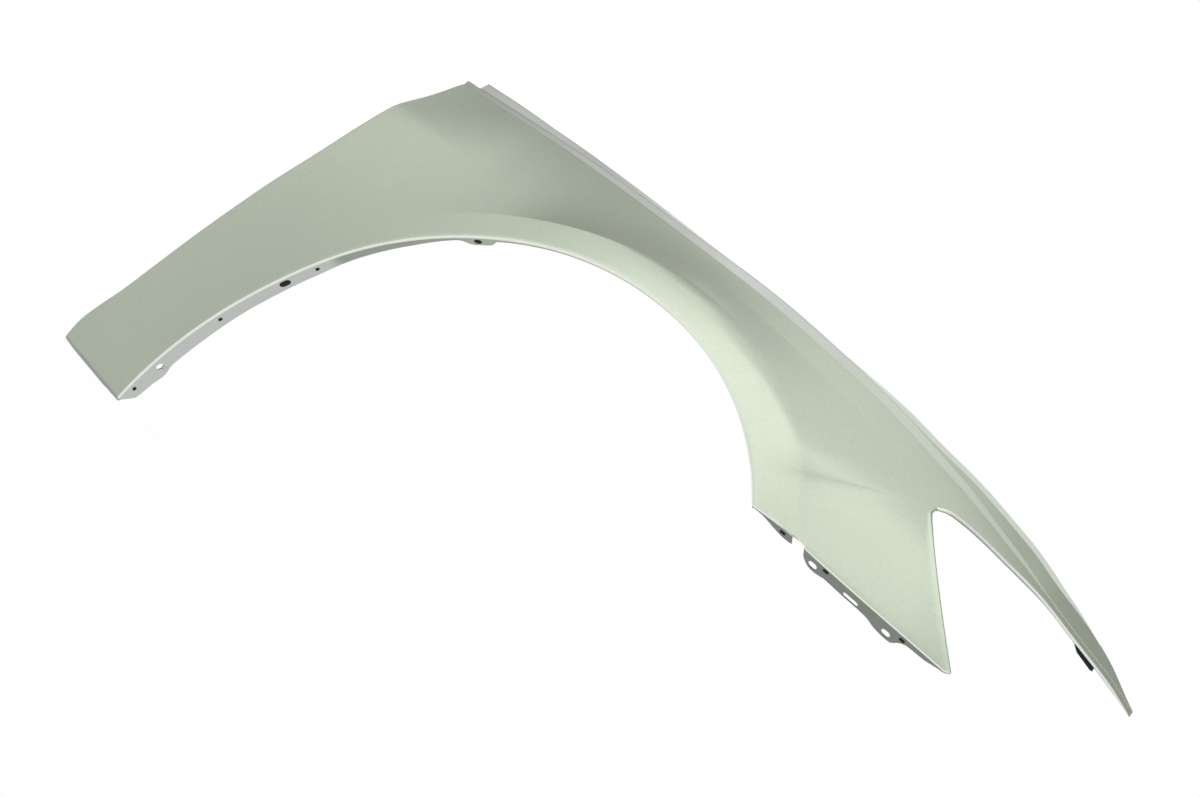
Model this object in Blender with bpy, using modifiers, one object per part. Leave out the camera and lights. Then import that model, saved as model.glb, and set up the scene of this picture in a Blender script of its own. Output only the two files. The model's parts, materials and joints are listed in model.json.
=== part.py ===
import math

import bmesh
import bpy
from mathutils import Matrix, Vector

# Right-hand front fender of a car, pressed from one sheet of steel.
# X points forward, Y points inboard and Z points up, all in metres. The panel is drawn
# from the wheel centre, on the upright plane that touches the outermost part of its skin.
# The finished panel is then moved so that its rear hood pad carries the origin.

# Sheet and outline
sheet_thickness = 0.001
bend_radius = 0.0022
panel_length = 1.10
panel_height = 0.496
arch_radius = 0.37 * panel_length
arch_rise = 0.8206 * panel_height

# How far the skin lies inboard of the outermost plane
side_inset = 0.016
door_inset = 0.008
shoulder_depth = 0.1532 * panel_height
shoulder_foot_height = 0.504 * panel_height
nose_sweep = 0.1436 * panel_length
hood_line_rise = 0.0222 * panel_height
hood_drop = 0.24 * panel_height
sill_tuck = 0.009
sill_tuck_height = 0.3024 * panel_height
fold_depth = 0.005
fold_softness = 0.010

# Raised band round the wheel arch
band_width = 0.028
band_growth = 0.014
flare_height = 0.011
flare_crown = 0.012
flare_fade = 0.120
flare_shrink = 0.97
crease_height_share = 0.94

# Hood side: rolled edge, facet over the lamp, step and bolting ledge
roll_width = 0.020
facet_width = 0.021
ledge_step = 0.0025
ledge_width = 0.016
pad_drop = 0.003
pad_reach = 0.004
pad_length = 0.024
pad_hole_diameter = 0.007
pad_mount_offset = 0.013

# Flanges round the rest of the panel
arch_flange_width = 0.024
bumper_flange_width = 0.020
door_flange_width = 0.012
sill_flange_width = 0.009
lamp_flange_width = 0.008
lamp_tab_length = 0.007

# Holes in the flanges
arch_pin_diameter = 0.004
arch_hole_diameter = 0.0075
arch_hole_inset = 0.0065
arch_slot_length = 0.014
arch_slot_width = 0.010
bumper_oval_length = 0.010
bumper_oval_width = 0.007
bumper_slot_length = 0.018
bumper_slot_width = 0.005
bumper_pin_length = 0.005
bumper_pin_width = 0.0035
cutter_overrun = 0.005

# Slopes in degrees above the horizontal
roll_rise = 35
facet_rise = 50
step_rise = -10
ledge_rise = 27

# Slopes in degrees, turned inboard from straight down
bumper_flange_tilt = 55
sill_flange_tilt = 65
lamp_flange_tilt = 74
lamp_tab_tilt = 25

# Arch angles in degrees, from straight back over the top towards the front
arch_rear_angle = 180
fold_corner_angle = 138
hood_corner_angle = 132
crease_full_angle = 106
band_growth_angle = 112
flare_peak_angle = 82
band_full_angle = 76
notch_angle = 60
arch_front_angle = 53.9
waist_shift_angle = 100
crease_front_angle = 64
flare_rear_span = 50
flare_front_span = 40

# Grid of the pressed skin
door_columns = 18
corner_columns = 3
hood_columns = 36
leg_columns = 8
tail_columns = 28
upper_rows = 4
cutter_sides = 18
leg_bunching = 1.6

# Side-view outlines. Each point is a share of the panel's length, measured forward from
# the wheel centre, and a share of its height, measured up from there.
door_edge_shares = (
    (-0.4915, 0.030), (-0.489, 0.074), (-0.480, 0.126), (-0.470, 0.175), (-0.4615, 0.228),
    (-0.4395, 0.381), (-0.4155, 0.530), (-0.3905, 0.671), (-0.3785, 0.767), (-0.370, 0.861),
)
door_corner_shares = ((-0.370, 0.861), (-0.3625, 0.922), (-0.351, 0.991))
hood_edge_shares = (
    (-0.351, 0.991), (-0.273, 0.9935), (-0.210, 0.9925), (-0.138, 0.987), (-0.023, 0.977),
    (0.060, 0.969), (0.140, 0.953), (0.190, 0.942), (0.224, 0.930), (0.266, 0.912),
    (0.301, 0.897), (0.353, 0.869), (0.404, 0.838), (0.446, 0.811), (0.4885, 0.785),
    (0.5135, 0.763),
)
lamp_edge_shares = (
    (0.3035, 0.8345), (0.3028, 0.820), (0.3065, 0.809), (0.3118, 0.797), (0.3355, 0.745),
    (0.366, 0.679), (0.404, 0.597),
)
tail_edge_shares = (
    (0.3035, 0.8345), (0.3105, 0.844), (0.320, 0.847), (0.335, 0.8465), (0.370, 0.838),
    (0.407, 0.8265), (0.4465, 0.803), (0.4885, 0.777), (0.515, 0.753),
)
bumper_edge_shares = ((0.237, 0.618), (0.270, 0.613), (0.306, 0.608), (0.404, 0.597))
fold_start_share = -0.371
fold_end_share = -0.254
fold_height_share = 0.847
nose_start_share = -0.136
hood_drop_start_share = -0.10
door_spread_start_share = -0.236
notch_column_share = 0.765
tail_start_share = 0.757

# Curve powers
nose_power = 2.2
hood_drop_power = 2.3
shoulder_power = 3

# Distance of the arch lip from the wheel centre, as shares of the arch radius
arch_radius_shares = (
    (180.0, 1.027), (170.0, 1.013), (161.0, 0.998), (151.0, 0.991), (138.0, 0.996),
    (120.0, 1.000), (103.0, 1.004), (88.0, 1.003), (76.0, 0.995), (68.0, 0.981),
    (60.0, 0.956), (53.9, 0.929),
)

# Rows from the arch lip to the lamp edge. The band rows end at the crease, and the others
# follow the tabs of the bumper flange on the panel's front edge.
band_row_shares = (0.0, 0.36, 0.52, 1.0)
bumper_band_share = 0.186
bumper_row_shares = (
    0.197, 0.262, 0.284, 0.309, 0.376, 0.46, 0.55, 0.60, 0.64, 0.68, 0.725, 0.765, 0.80,
    0.89, 0.95, 1.0,
)
bumper_gap_row = 5

# Widths along each flange, as shares of its width, at angles round the arch, at shares of
# the bumper edge or at shares of the tail's lower edge
arch_flange_shares = (
    (180.0, 0.50), (178.4, 0.72), (176.2, 0.90), (174.8, 0.92), (174.2, 1.06), (172.4, 1.06),
    (171.8, 0.86), (165.0, 0.84), (158.0, 0.76), (152.0, 0.76), (144.5, 0.80), (141.0, 0.70),
    (131.0, 0.67), (124.8, 0.61), (122.2, 0.63), (121.6, 0.98), (116.2, 0.86), (115.4, 0.42),
    (112.0, 0.52), (105.0, 0.46), (98.0, 0.36), (86.0, 0.40), (70.0, 0.55), (53.5, 0.60),
)
bumper_flange_shares = (
    (0.06, 0.02), (0.118, 0.10), (0.186, 0.22), (0.197, 0.13), (0.262, 0.40), (0.284, 0.75),
    (0.309, 0.82), (0.333, 0.81), (0.376, 0.66), (0.46, 0.69), (0.55, 0.68), (0.60, 0.72),
    (0.64, 0.94), (0.68, 1.0), (0.725, 1.0), (0.765, 0.55), (0.80, 0.34), (0.89, 0.30),
    (0.95, 0.12), (1.0, 0.02),
)
lamp_flange_share = 0.22
tail_flange_shares = (
    (0.0, 0.22), (0.09, 1.0), (0.40, 1.0), (0.56, 0.20), (1.0, 0.05),
)

# Widths along the hood edge, as shares of each strip's width
roll_width_shares = (
    (0.0, 0.60), (0.15, 0.60), (0.30, 0.72), (0.42, 0.90), (0.52, 1.0), (0.62, 0.90),
    (0.74, 0.82), (0.80, 0.55), (0.84, 0.42), (0.875, 0.14), (0.90, 0.10), (1.0, 0.05),
)
facet_width_shares = (
    (0.0, 0.06), (0.60, 0.06), (0.69, 0.14), (0.74, 0.36), (0.79, 0.64), (0.84, 0.84),
    (0.88, 0.92), (0.925, 0.94), (0.955, 0.64), (0.98, 0.22), (1.0, 0.03),
)
ledge_rise_shares = (
    (0.0, 1.75), (0.06, 1.35), (0.12, 0.95), (0.28, 0.85), (0.42, 0.35), (0.56, 0.35),
    (0.66, 0.9), (1.0, 1.0),
)
ledge_width_shares = ((0.0, 1.0), (0.87, 1.0), (0.90, 0.6), (0.935, 0.05), (1.0, 0.0))
ledge_end_share = 0.94

# Places of holes along the flanges
arch_pin_angles = (177.4, 161.2, 144.6)
arch_hole_angles = (172.6, 119.0)
arch_slot_angle = 150.0
bumper_oval_places = ((0.311, 0.415), (0.696, 0.60))
bumper_slot_places = ((0.511, 0.435),)
bumper_pin_places = ((0.380, 0.10), (0.777, 0.225))
pad_columns = (3, 17, 30)
lamp_tab_columns = (19, 22)

paint_color = (0.46, 0.51, 0.43, 1.0)
paint_roughness = 0.32
paint_metallic = 0.55


def clear_scene():
    for scene_object in list(bpy.data.objects):
        bpy.data.objects.remove(scene_object, do_unlink=True)


def smooth_step(start, end, value):
    share = min(1.0, max(0.0, (value - start) / (end - start)))
    return share * share * (3 - 2 * share)


def read_table(table, place):
    # Reads a table of (place, value) pairs along straight lines from pair to pair.
    pairs = sorted(table, key=lambda pair: pair[0])
    if place <= pairs[0][0]:
        return pairs[0][1]
    for (before, value), (after, next_value) in zip(pairs, pairs[1:]):
        if place <= after:
            blend = (place - before) / (after - before)
            return value + (next_value - value) * blend
    return pairs[-1][1]


def read_curve(table, place):
    # Reads the same kind of table along a smooth curve through its pairs.
    pairs = sorted(table)
    place = min(pairs[-1][0], max(pairs[0][0], place))
    index = 0
    while index < len(pairs) - 2 and place > pairs[index + 1][0]:
        index += 1
    slopes = []
    for pair in (index, index + 1):
        before = pairs[max(0, pair - 1)]
        after = pairs[min(len(pairs) - 1, pair + 1)]
        slopes.append((after[1] - before[1]) / (after[0] - before[0]))
    span = pairs[index + 1][0] - pairs[index][0]
    return blend_curve(
        pairs[index][1], pairs[index + 1][1], slopes[0] * span, slopes[1] * span,
        (place - pairs[index][0]) / span,
    )


def blend_curve(start, end, start_slope, end_slope, share):
    square = share * share
    cube = square * share
    return (
        start * (2 * cube - 3 * square + 1)
        + start_slope * (cube - 2 * square + share)
        + end * (3 * square - 2 * cube)
        + end_slope * (cube - square)
    )


def side_points(shares):
    return [Vector((along * panel_length, up * panel_height)) for along, up in shares]


def rail_point(points, share):
    # A smooth curve through the points, read at a share of its length.
    steps = [(after - before).length for before, after in zip(points, points[1:])]
    target = share * sum(steps)
    index = 0
    while index < len(steps) - 1 and target > steps[index]:
        target -= steps[index]
        index += 1
    slopes = [(after - before) / step for before, after, step in zip(points, points[1:], steps)]
    before_slope = slopes[max(0, index - 1)]
    after_slope = slopes[min(len(slopes) - 1, index + 1)]
    step = steps[index]
    return blend_curve(
        points[index], points[index + 1], (before_slope + slopes[index]) / 2 * step,
        (slopes[index] + after_slope) / 2 * step, target / step,
    )


door_edge = side_points(door_edge_shares)
door_corner = side_points(door_corner_shares)
hood_edge = side_points(hood_edge_shares)
lamp_edge = side_points(lamp_edge_shares)
tail_edge = side_points(tail_edge_shares)
tip_place = tail_edge[-1].x
sill_place = door_edge[0].x


def skin_depth(x, z):
    # How far the plain skin lies inboard at one point of the side view.
    nose_start = nose_start_share * panel_length
    nose = max(0.0, (x - nose_start) / (tip_place - nose_start))
    door_start = door_spread_start_share * panel_length
    door = max(0.0, (door_start - x) / (door_start - sill_place))
    drop_start = hood_drop_start_share * panel_length
    drop = max(0.0, (x - drop_start) / (tip_place - drop_start))
    hood_height = panel_height + hood_line_rise - hood_drop * drop ** hood_drop_power
    foot = shoulder_foot_height
    shoulder = max(0.0, (z - foot) / (hood_height - foot))
    tuck = max(0.0, (sill_tuck_height - z) / sill_tuck_height)
    fold_start = fold_start_share * panel_length
    fold_end = fold_end_share * panel_length
    fold_fade = 1 - smooth_step(fold_start, fold_end, x)
    fold_reach = (z - fold_height_share * panel_height) / fold_softness
    fold_lift = math.log1p(math.exp(fold_reach))
    fold_span = panel_height * (1 - fold_height_share) / fold_softness
    return (
        side_inset
        + nose_sweep * nose ** nose_power
        + door_inset * door ** 2
        + shoulder_depth * shoulder ** shoulder_power
        + sill_tuck * tuck ** 2
        + fold_depth * fold_fade * fold_lift / fold_span
    )


def arch_lip(angle):
    share = read_curve(arch_radius_shares, angle)
    turn = math.radians(angle)
    return share * Vector((arch_radius * math.cos(turn), arch_rise * math.sin(turn)))


def outer_edge(angle):
    # The point of the door edge or hood edge that faces a point of the arch.
    if angle >= fold_corner_angle:
        share = (arch_rear_angle - angle) / (arch_rear_angle - fold_corner_angle)
        return rail_point(door_edge, share)
    if angle >= hood_corner_angle:
        share = (fold_corner_angle - angle) / (fold_corner_angle - hood_corner_angle)
        return rail_point(door_corner, share)
    share = (hood_corner_angle - angle) / (hood_corner_angle - notch_angle)
    return rail_point(hood_edge, share * tail_start_share)


def band_at(angle):
    return band_width + band_growth * smooth_step(band_growth_angle, band_full_angle, angle)


def flare_lift(angle, distance, reach):
    # How far the flare stands outboard of the plain skin at a distance from the lip.
    span = flare_rear_span if angle > flare_peak_angle else flare_front_span
    turn = min(1.0, abs(angle - flare_peak_angle) / span)
    height = flare_height + flare_crown * math.cos(math.pi / 2 * turn) ** 2
    band = band_at(angle)
    fade = min(flare_fade, reach - band)
    soft = max(0.0, 1 - distance / (band + fade)) ** 2
    if distance < band:
        creased = 1 - (1 - crease_height_share) * distance / band
    else:
        creased = crease_height_share * max(0.0, 1 - (distance - band) / fade) ** 2
    sharpness = smooth_step(fold_corner_angle, crease_full_angle, angle)
    sharpness *= smooth_step(arch_front_angle, crease_front_angle, angle)
    return height * (soft + (creased - soft) * sharpness)


def skin_point(place, lift=0.0):
    return Vector((place.x, skin_depth(place.x, place.y) - lift, place.y))


def column_places(angle, outer, waist, bumper_blend=0.0):
    # Side-view places of one column, from the arch lip past the waist to the outer edge.
    lip = arch_lip(angle)
    waist_length = (waist - lip).length
    turn = math.radians(angle)
    radial = Vector((math.cos(turn), math.sin(turn)))
    lean = (waist - lip).normalized().dot(radial)
    band_share = band_at(angle) / lean / waist_length
    band_share += (bumper_band_share - band_share) * bumper_blend
    places = [lip + (waist - lip) * band_share * share for share in band_row_shares]
    count = len(bumper_row_shares)
    for row, bumper_share in enumerate(bumper_row_shares, 1):
        even_share = row / count
        seam_share = (bumper_share - bumper_band_share) / (1 - bumper_band_share)
        share = even_share + (seam_share - even_share) * bumper_blend
        places.append(lip + (waist - lip) * (band_share + (1 - band_share) * share))
    if outer is not None:
        for row in range(1, upper_rows + 1):
            places.append(waist + (outer - waist) * row / upper_rows)
    return places


def column_points(angle, places):
    lip = places[0]
    reach = (places[-1] - lip).length
    return [
        skin_point(place, flare_lift(angle, (place - lip).length * flare_shrink, reach))
        for place in places
    ]


def main_angles():
    angles = []
    spans = (
        (arch_rear_angle, fold_corner_angle, door_columns),
        (fold_corner_angle, hood_corner_angle, corner_columns),
        (hood_corner_angle, notch_angle, hood_columns),
    )
    for start, end, count in spans:
        angles += [start + (end - start) * index / count for index in range(count)]
    return angles + [notch_angle]


def leg_angles():
    turn = arch_front_angle - notch_angle
    return [notch_angle + turn * index / leg_columns for index in range(1, leg_columns + 1)]


def waist_place(angle, outer):
    # The row that meets the top of the lamp notch in the last full column.
    lip = arch_lip(angle)
    straight = lip + (outer - lip) * notch_column_share
    last_lip = arch_lip(notch_angle)
    last_straight = last_lip + (outer_edge(notch_angle) - last_lip) * notch_column_share
    shift = lamp_edge[0] - last_straight
    return straight + shift * smooth_step(waist_shift_angle, notch_angle, angle)


def bumper_places(places):
    # Bends the last leg column to the seam with the bumper.
    seam = [places[0]] + side_points(bumper_edge_shares)
    total = (places[-1] - places[0]).length
    return [rail_point(seam, (place - places[0]).length / total) for place in places]


def add_row(mesh, points):
    return [mesh.verts.new(point) for point in points]


def add_strip(mesh, row, next_row):
    for index in range(len(row) - 1):
        mesh.faces.new((row[index], row[index + 1], next_row[index + 1], next_row[index]))


def add_flange(mesh, edge, outward, inboard, widths):
    # Bends the sheet round a small radius and carries it on to its width.
    rows = [edge]
    corner = math.sqrt(0.5)
    for out_share, in_share in ((corner, 1 - corner), (1.0, 1.0)):
        points = [
            vertex.co + away * bend_radius * out_share + inward * bend_radius * in_share
            for vertex, away, inward in zip(edge, outward, inboard)
        ]
        rows.append(add_row(mesh, points))
    points = [
        vertex.co + inward * max(width, bend_radius / 4)
        for vertex, inward, width in zip(rows[-1], inboard, widths)
    ]
    rows.append(add_row(mesh, points))
    for row, next_row in zip(rows, rows[1:]):
        add_strip(mesh, row, next_row)
    return rows


def edge_normals(edge, towards):
    # Directions square to an edge in the side view, on the side that a point lies on.
    normals = []
    for index, vertex in enumerate(edge):
        before = edge[max(0, index - 1)].co
        after = edge[min(len(edge) - 1, index + 1)].co
        normal = Vector((before.z - after.z, 0, after.x - before.x)).normalized()
        if normal.dot(towards - vertex.co) < 0:
            normal.negate()
        normals.append(normal)
    return normals


def tilted(tilt):
    turn = math.radians(tilt)
    return Vector((0, math.sin(turn), -math.cos(turn)))


def flange_hole(row, places, place, inboard, distance, length, width):
    # A hole in the flat of a flange, at a distance from the row where its bend ends.
    points = [vertex.co for vertex in row]
    centre = read_table(zip(places, points), place) + inboard * distance
    nearest = min(range(1, len(row) - 1), key=lambda index: abs(places[index] - place))
    along = (points[nearest + 1] - points[nearest - 1]).normalized()
    return centre, inboard.cross(along).normalized(), along, length, width


def build_skin(mesh):
    columns = []
    for angle in main_angles():
        outer = outer_edge(angle)
        places = column_places(angle, outer, waist_place(angle, outer))
        columns.append(add_row(mesh, column_points(angle, places)))
    for column, next_column in zip(columns, columns[1:]):
        add_strip(mesh, column, next_column)

    waist_row = len(band_row_shares) + len(bumper_row_shares) - 1
    leg = [columns[-1][:waist_row + 1]]
    for index, angle in enumerate(leg_angles(), 1):
        share = index / leg_columns
        waist = rail_point(lamp_edge, share ** leg_bunching)
        places = column_places(angle, None, waist, smooth_step(0, 1, share))
        if index == leg_columns:
            places = bumper_places(places)
        leg.append(add_row(mesh, column_points(angle, places)))
    for column, next_column in zip(leg, leg[1:]):
        add_strip(mesh, column, next_column)

    tail = [columns[-1][waist_row:]]
    for index in range(1, tail_columns + 1):
        share = index / tail_columns
        lower = rail_point(tail_edge, share)
        upper = rail_point(hood_edge, tail_start_share + (1 - tail_start_share) * share)
        places = [lower + (upper - lower) * row / upper_rows for row in range(upper_rows + 1)]
        tail.append(add_row(mesh, [skin_point(place) for place in places]))
    for column, next_column in zip(tail, tail[1:]):
        add_strip(mesh, column, next_column)
    return columns, leg, tail


def add_hood_strip(mesh, row, inward, rises, widths):
    # Carries the sheet on from a row, each point at its own rise and width.
    points = []
    for vertex, direction, rise, width in zip(row, inward, rises, widths):
        turn = math.radians(rise)
        slope = direction * math.cos(turn) + Vector((0, 0, math.sin(turn)))
        points.append(vertex.co + slope * width)
    strip = add_row(mesh, points)
    add_strip(mesh, row, strip)
    return strip


def build_hood_side(mesh, columns, tail):
    corner_column = door_columns + corner_columns
    edge = [column[-1] for column in columns[corner_column:]]
    edge += [column[-1] for column in tail[1:]]
    inward = []
    for index in range(len(edge)):
        before = edge[max(0, index - 1)].co
        after = edge[min(len(edge) - 1, index + 1)].co
        inward.append(Vector((before.y - after.y, after.x - before.x, 0)).normalized())

    shares = [tail_start_share * index / hood_columns for index in range(hood_columns)]
    front_share = 1 - tail_start_share
    shares += [
        tail_start_share + front_share * index / tail_columns
        for index in range(tail_columns + 1)
    ]
    widths = [roll_width * read_curve(roll_width_shares, share) for share in shares]
    roll = add_hood_strip(mesh, edge, inward, [roll_rise] * len(edge), widths)
    widths = [facet_width * read_curve(facet_width_shares, share) for share in shares]
    facet = add_hood_strip(mesh, roll, inward, [facet_rise] * len(edge), widths)

    kept = [index for index, share in enumerate(shares) if index and share <= ledge_end_share]
    inward = [inward[index] for index in kept]
    foot = add_hood_strip(
        mesh, [facet[index] for index in kept], inward, [step_rise] * len(kept),
        [ledge_step] * len(kept),
    )
    rises = [ledge_rise * read_table(ledge_rise_shares, shares[index]) for index in kept]
    widths = [ledge_width * read_table(ledge_width_shares, shares[index]) for index in kept]
    ledge = add_hood_strip(mesh, foot, inward, rises, widths)

    pads = []
    for first in pad_columns:
        edge_span = ledge[first:first + 3]
        height = min(vertex.co.z for vertex in edge_span) - pad_drop
        near = []
        for vertex in edge_span:
            point = vertex.co + inward[first + 1] * pad_reach
            point.z = height
            near.append(point)
        far = [point + inward[first + 1] * pad_length for point in near]
        near_row = add_row(mesh, near)
        add_strip(mesh, edge_span, near_row)
        add_strip(mesh, near_row, add_row(mesh, far))
        pads.append(((near[1] + far[1]) / 2, (near[2] - near[0]).normalized()))
    return pads


def build_flanges(mesh, columns, leg, tail):
    inboard = Vector((0, 1, 0))
    wheel_centre = Vector((0, 0, 0))
    below = Vector((0, 0, -panel_height))
    behind = Vector((2 * sill_place, 0, 0))
    lamp_centre = Vector((panel_length * 0.48, 0, panel_height * 0.69))
    holes = []

    arch = [column[0] for column in columns] + [column[0] for column in leg[1:]]
    angles = main_angles() + leg_angles()
    widths = [arch_flange_width * read_table(arch_flange_shares, angle) for angle in angles]
    bend = add_flange(
        mesh, arch, edge_normals(arch, wheel_centre), [inboard] * len(arch), widths,
    )[2]
    for angle in arch_pin_angles:
        holes.append(flange_hole(
            bend, angles, angle, inboard, arch_hole_inset, arch_pin_diameter, arch_pin_diameter,
        ))
    for angle in arch_hole_angles:
        holes.append(flange_hole(
            bend, angles, angle, inboard, arch_hole_inset, arch_hole_diameter,
            arch_hole_diameter,
        ))
    holes.append(flange_hole(
        bend, angles, arch_slot_angle, inboard, arch_hole_inset, arch_slot_length,
        arch_slot_width,
    ))

    door = [column[-1] for column in columns[:door_columns + corner_columns]]
    add_flange(
        mesh, door, edge_normals(door, behind), [inboard] * len(door),
        [door_flange_width] * len(door),
    )

    sill = columns[0][2:-1]
    add_flange(
        mesh, sill, edge_normals(sill, below), [tilted(sill_flange_tilt)] * len(sill),
        [sill_flange_width] * len(sill),
    )

    seam_places = [share * bumper_band_share for share in band_row_shares]
    seam_places += list(bumper_row_shares)
    slope = tilted(bumper_flange_tilt)
    bumper_holes = (
        (bumper_oval_places, bumper_oval_length, bumper_oval_width),
        (bumper_slot_places, bumper_slot_length, bumper_slot_width),
        (bumper_pin_places, bumper_pin_length, bumper_pin_width),
    )
    for first, last in ((1, bumper_gap_row), (bumper_gap_row, len(seam_places))):
        seam = leg[-1][first:last]
        places = seam_places[first:last]
        widths = [
            bumper_flange_width * read_table(bumper_flange_shares, place) for place in places
        ]
        bend = add_flange(
            mesh, seam, edge_normals(seam, below), [slope] * len(seam), widths,
        )[2]
        for hole_places, length, width in bumper_holes:
            for place, distance in hole_places:
                if places[0] < place < places[-1]:
                    holes.append(flange_hole(
                        bend, places, place, slope, distance * bumper_flange_width,
                        length, width,
                    ))

    lamp = [column[-1] for column in leg[:0:-1]]
    lower = [column[0] for column in tail[:-1]]
    edge = lamp + lower
    hem_widths = [lamp_flange_share] * len(lamp)
    hem_widths += [
        read_table(tail_flange_shares, index / tail_columns) for index in range(tail_columns)
    ]
    hem = add_flange(
        mesh, edge, edge_normals(edge, lamp_centre),
        [inboard] * len(lamp) + [tilted(lamp_flange_tilt)] * len(lower),
        [lamp_flange_width * width for width in hem_widths],
    )[3]
    first, last = [len(lamp) + column for column in lamp_tab_columns]
    tab_edge = hem[first:last + 1]
    points = [
        vertex.co + tilted(lamp_tab_tilt) * lamp_tab_length * (index + 1) / len(tab_edge)
        for index, vertex in enumerate(tab_edge)
    ]
    add_strip(mesh, tab_edge, add_row(mesh, points))
    return holes


def make_object(name, mesh, collection):
    data = bpy.data.meshes.new(name)
    mesh.to_mesh(data)
    mesh.free()
    made = bpy.data.objects.new(name, data)
    collection.objects.link(made)
    return made


def add_cutter(name, collection, centre, normal, along, length, width):
    # A round bar or a slot-shaped bar that stands through the sheet along its normal.
    mesh = bmesh.new()
    bmesh.ops.create_cone(
        mesh, cap_ends=True, segments=cutter_sides, radius1=width / 2, radius2=width / 2,
        depth=2 * cutter_overrun,
    )
    for vertex in mesh.verts:
        vertex.co.x += math.copysign((length - width) / 2, vertex.co.x)
    cutter = make_object(name, mesh, collection)
    turned = Matrix((along, normal.cross(along), normal)).transposed().to_4x4()
    cutter.matrix_world = Matrix.Translation(centre) @ turned
    cutter.hide_render = True
    cutter.display_type = "WIRE"


def paint_panel(panel):
    paint = bpy.data.materials.new("paint")
    paint.use_nodes = True
    shader = paint.node_tree.nodes["Principled BSDF"]
    shader.inputs["Base Color"].default_value = paint_color
    shader.inputs["Roughness"].default_value = paint_roughness
    shader.inputs["Metallic"].default_value = paint_metallic
    panel.data.materials.append(paint)


def main():
    clear_scene()
    fender = bpy.data.collections.new("fender")
    cutters = bpy.data.collections.new("fender_cutters")
    for collection in (fender, cutters):
        bpy.context.scene.collection.children.link(collection)

    mesh = bmesh.new()
    columns, leg, tail = build_skin(mesh)
    pads = build_hood_side(mesh, columns, tail)
    holes = build_flanges(mesh, columns, leg, tail)
    for centre, along in pads:
        holes.append((centre, Vector((0, 0, 1)), along, pad_hole_diameter, pad_hole_diameter))
    rear_centre, rear_along = pads[0]
    mount = rear_centre + rear_along * pad_mount_offset

    bmesh.ops.translate(mesh, verts=mesh.verts, vec=-mount)
    bmesh.ops.recalc_face_normals(mesh, faces=mesh.faces)
    mesh.faces.ensure_lookup_table()
    if mesh.faces[0].normal.y > 0:
        bmesh.ops.reverse_faces(mesh, faces=mesh.faces)
    panel = make_object("fender_panel", mesh, fender)
    panel.data.shade_smooth()
    panel.data.set_sharp_from_angle(angle=math.radians(30))

    sheet = panel.modifiers.new("sheet", "SOLIDIFY")
    sheet.thickness = sheet_thickness
    sheet.offset = -1
    sheet.use_even_offset = True

    for number, (centre, normal, along, length, width) in enumerate(holes, 1):
        add_cutter(
            f"hole_cutter_{number}", cutters, centre - mount, normal, along, length, width,
        )
    cut = panel.modifiers.new("holes", "BOOLEAN")
    cut.operation = "DIFFERENCE"
    cut.operand_type = "COLLECTION"
    cut.collection = cutters
    cut.solver = "EXACT"
    paint_panel(panel)


main()
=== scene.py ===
import json
import math

import bmesh
import bpy
from mathutils import Matrix, Vector
from mathutils.kdtree import KDTree

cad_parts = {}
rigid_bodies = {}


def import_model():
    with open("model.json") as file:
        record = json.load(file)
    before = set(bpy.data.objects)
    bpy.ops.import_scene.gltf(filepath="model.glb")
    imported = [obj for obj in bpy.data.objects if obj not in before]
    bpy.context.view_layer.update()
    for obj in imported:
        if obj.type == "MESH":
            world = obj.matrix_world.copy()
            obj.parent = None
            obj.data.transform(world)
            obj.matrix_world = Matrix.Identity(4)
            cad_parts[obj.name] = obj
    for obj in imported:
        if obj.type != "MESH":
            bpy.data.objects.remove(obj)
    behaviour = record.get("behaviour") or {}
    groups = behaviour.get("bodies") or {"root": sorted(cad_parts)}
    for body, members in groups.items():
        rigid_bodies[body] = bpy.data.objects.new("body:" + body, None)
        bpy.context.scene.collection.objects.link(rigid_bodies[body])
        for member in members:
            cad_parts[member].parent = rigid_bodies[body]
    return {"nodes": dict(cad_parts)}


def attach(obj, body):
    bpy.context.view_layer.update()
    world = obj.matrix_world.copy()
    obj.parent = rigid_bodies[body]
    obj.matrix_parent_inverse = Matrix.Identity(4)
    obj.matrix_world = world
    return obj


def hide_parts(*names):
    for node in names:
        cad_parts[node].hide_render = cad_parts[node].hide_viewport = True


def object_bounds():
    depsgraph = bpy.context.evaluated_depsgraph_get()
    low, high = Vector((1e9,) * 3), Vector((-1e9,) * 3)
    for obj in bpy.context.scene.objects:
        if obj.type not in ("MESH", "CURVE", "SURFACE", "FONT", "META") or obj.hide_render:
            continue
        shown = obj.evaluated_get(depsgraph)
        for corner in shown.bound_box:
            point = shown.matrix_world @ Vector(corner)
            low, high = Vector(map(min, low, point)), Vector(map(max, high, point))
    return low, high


# Right-hand front fender of a car in silver-green metallic paint.
# X points forward, Y points inboard and Z points up, all in metres. The panel is drawn
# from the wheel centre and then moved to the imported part, whose origin is its rear hood pad.
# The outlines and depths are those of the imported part, on a finer grid, with rounded bends.

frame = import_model()
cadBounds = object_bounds()
print("frame loaded", len(frame["nodes"]), "node")

# The whole pressed sheet, with its bend radii and the wheel centre's place in the part
fender = {
    "length": 1.10,
    "height": 0.496,
    "thickness": 0.001,
    "bendRadius": 0.0022,
    "seamRadius": 0.0011,
    "sillRadius": 0.0015,
    "sharpAngle": 35,  # degrees between faces from which an edge is drawn sharp
    "origin": (-0.27106, 0.12323, 0.50393),
}

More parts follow.
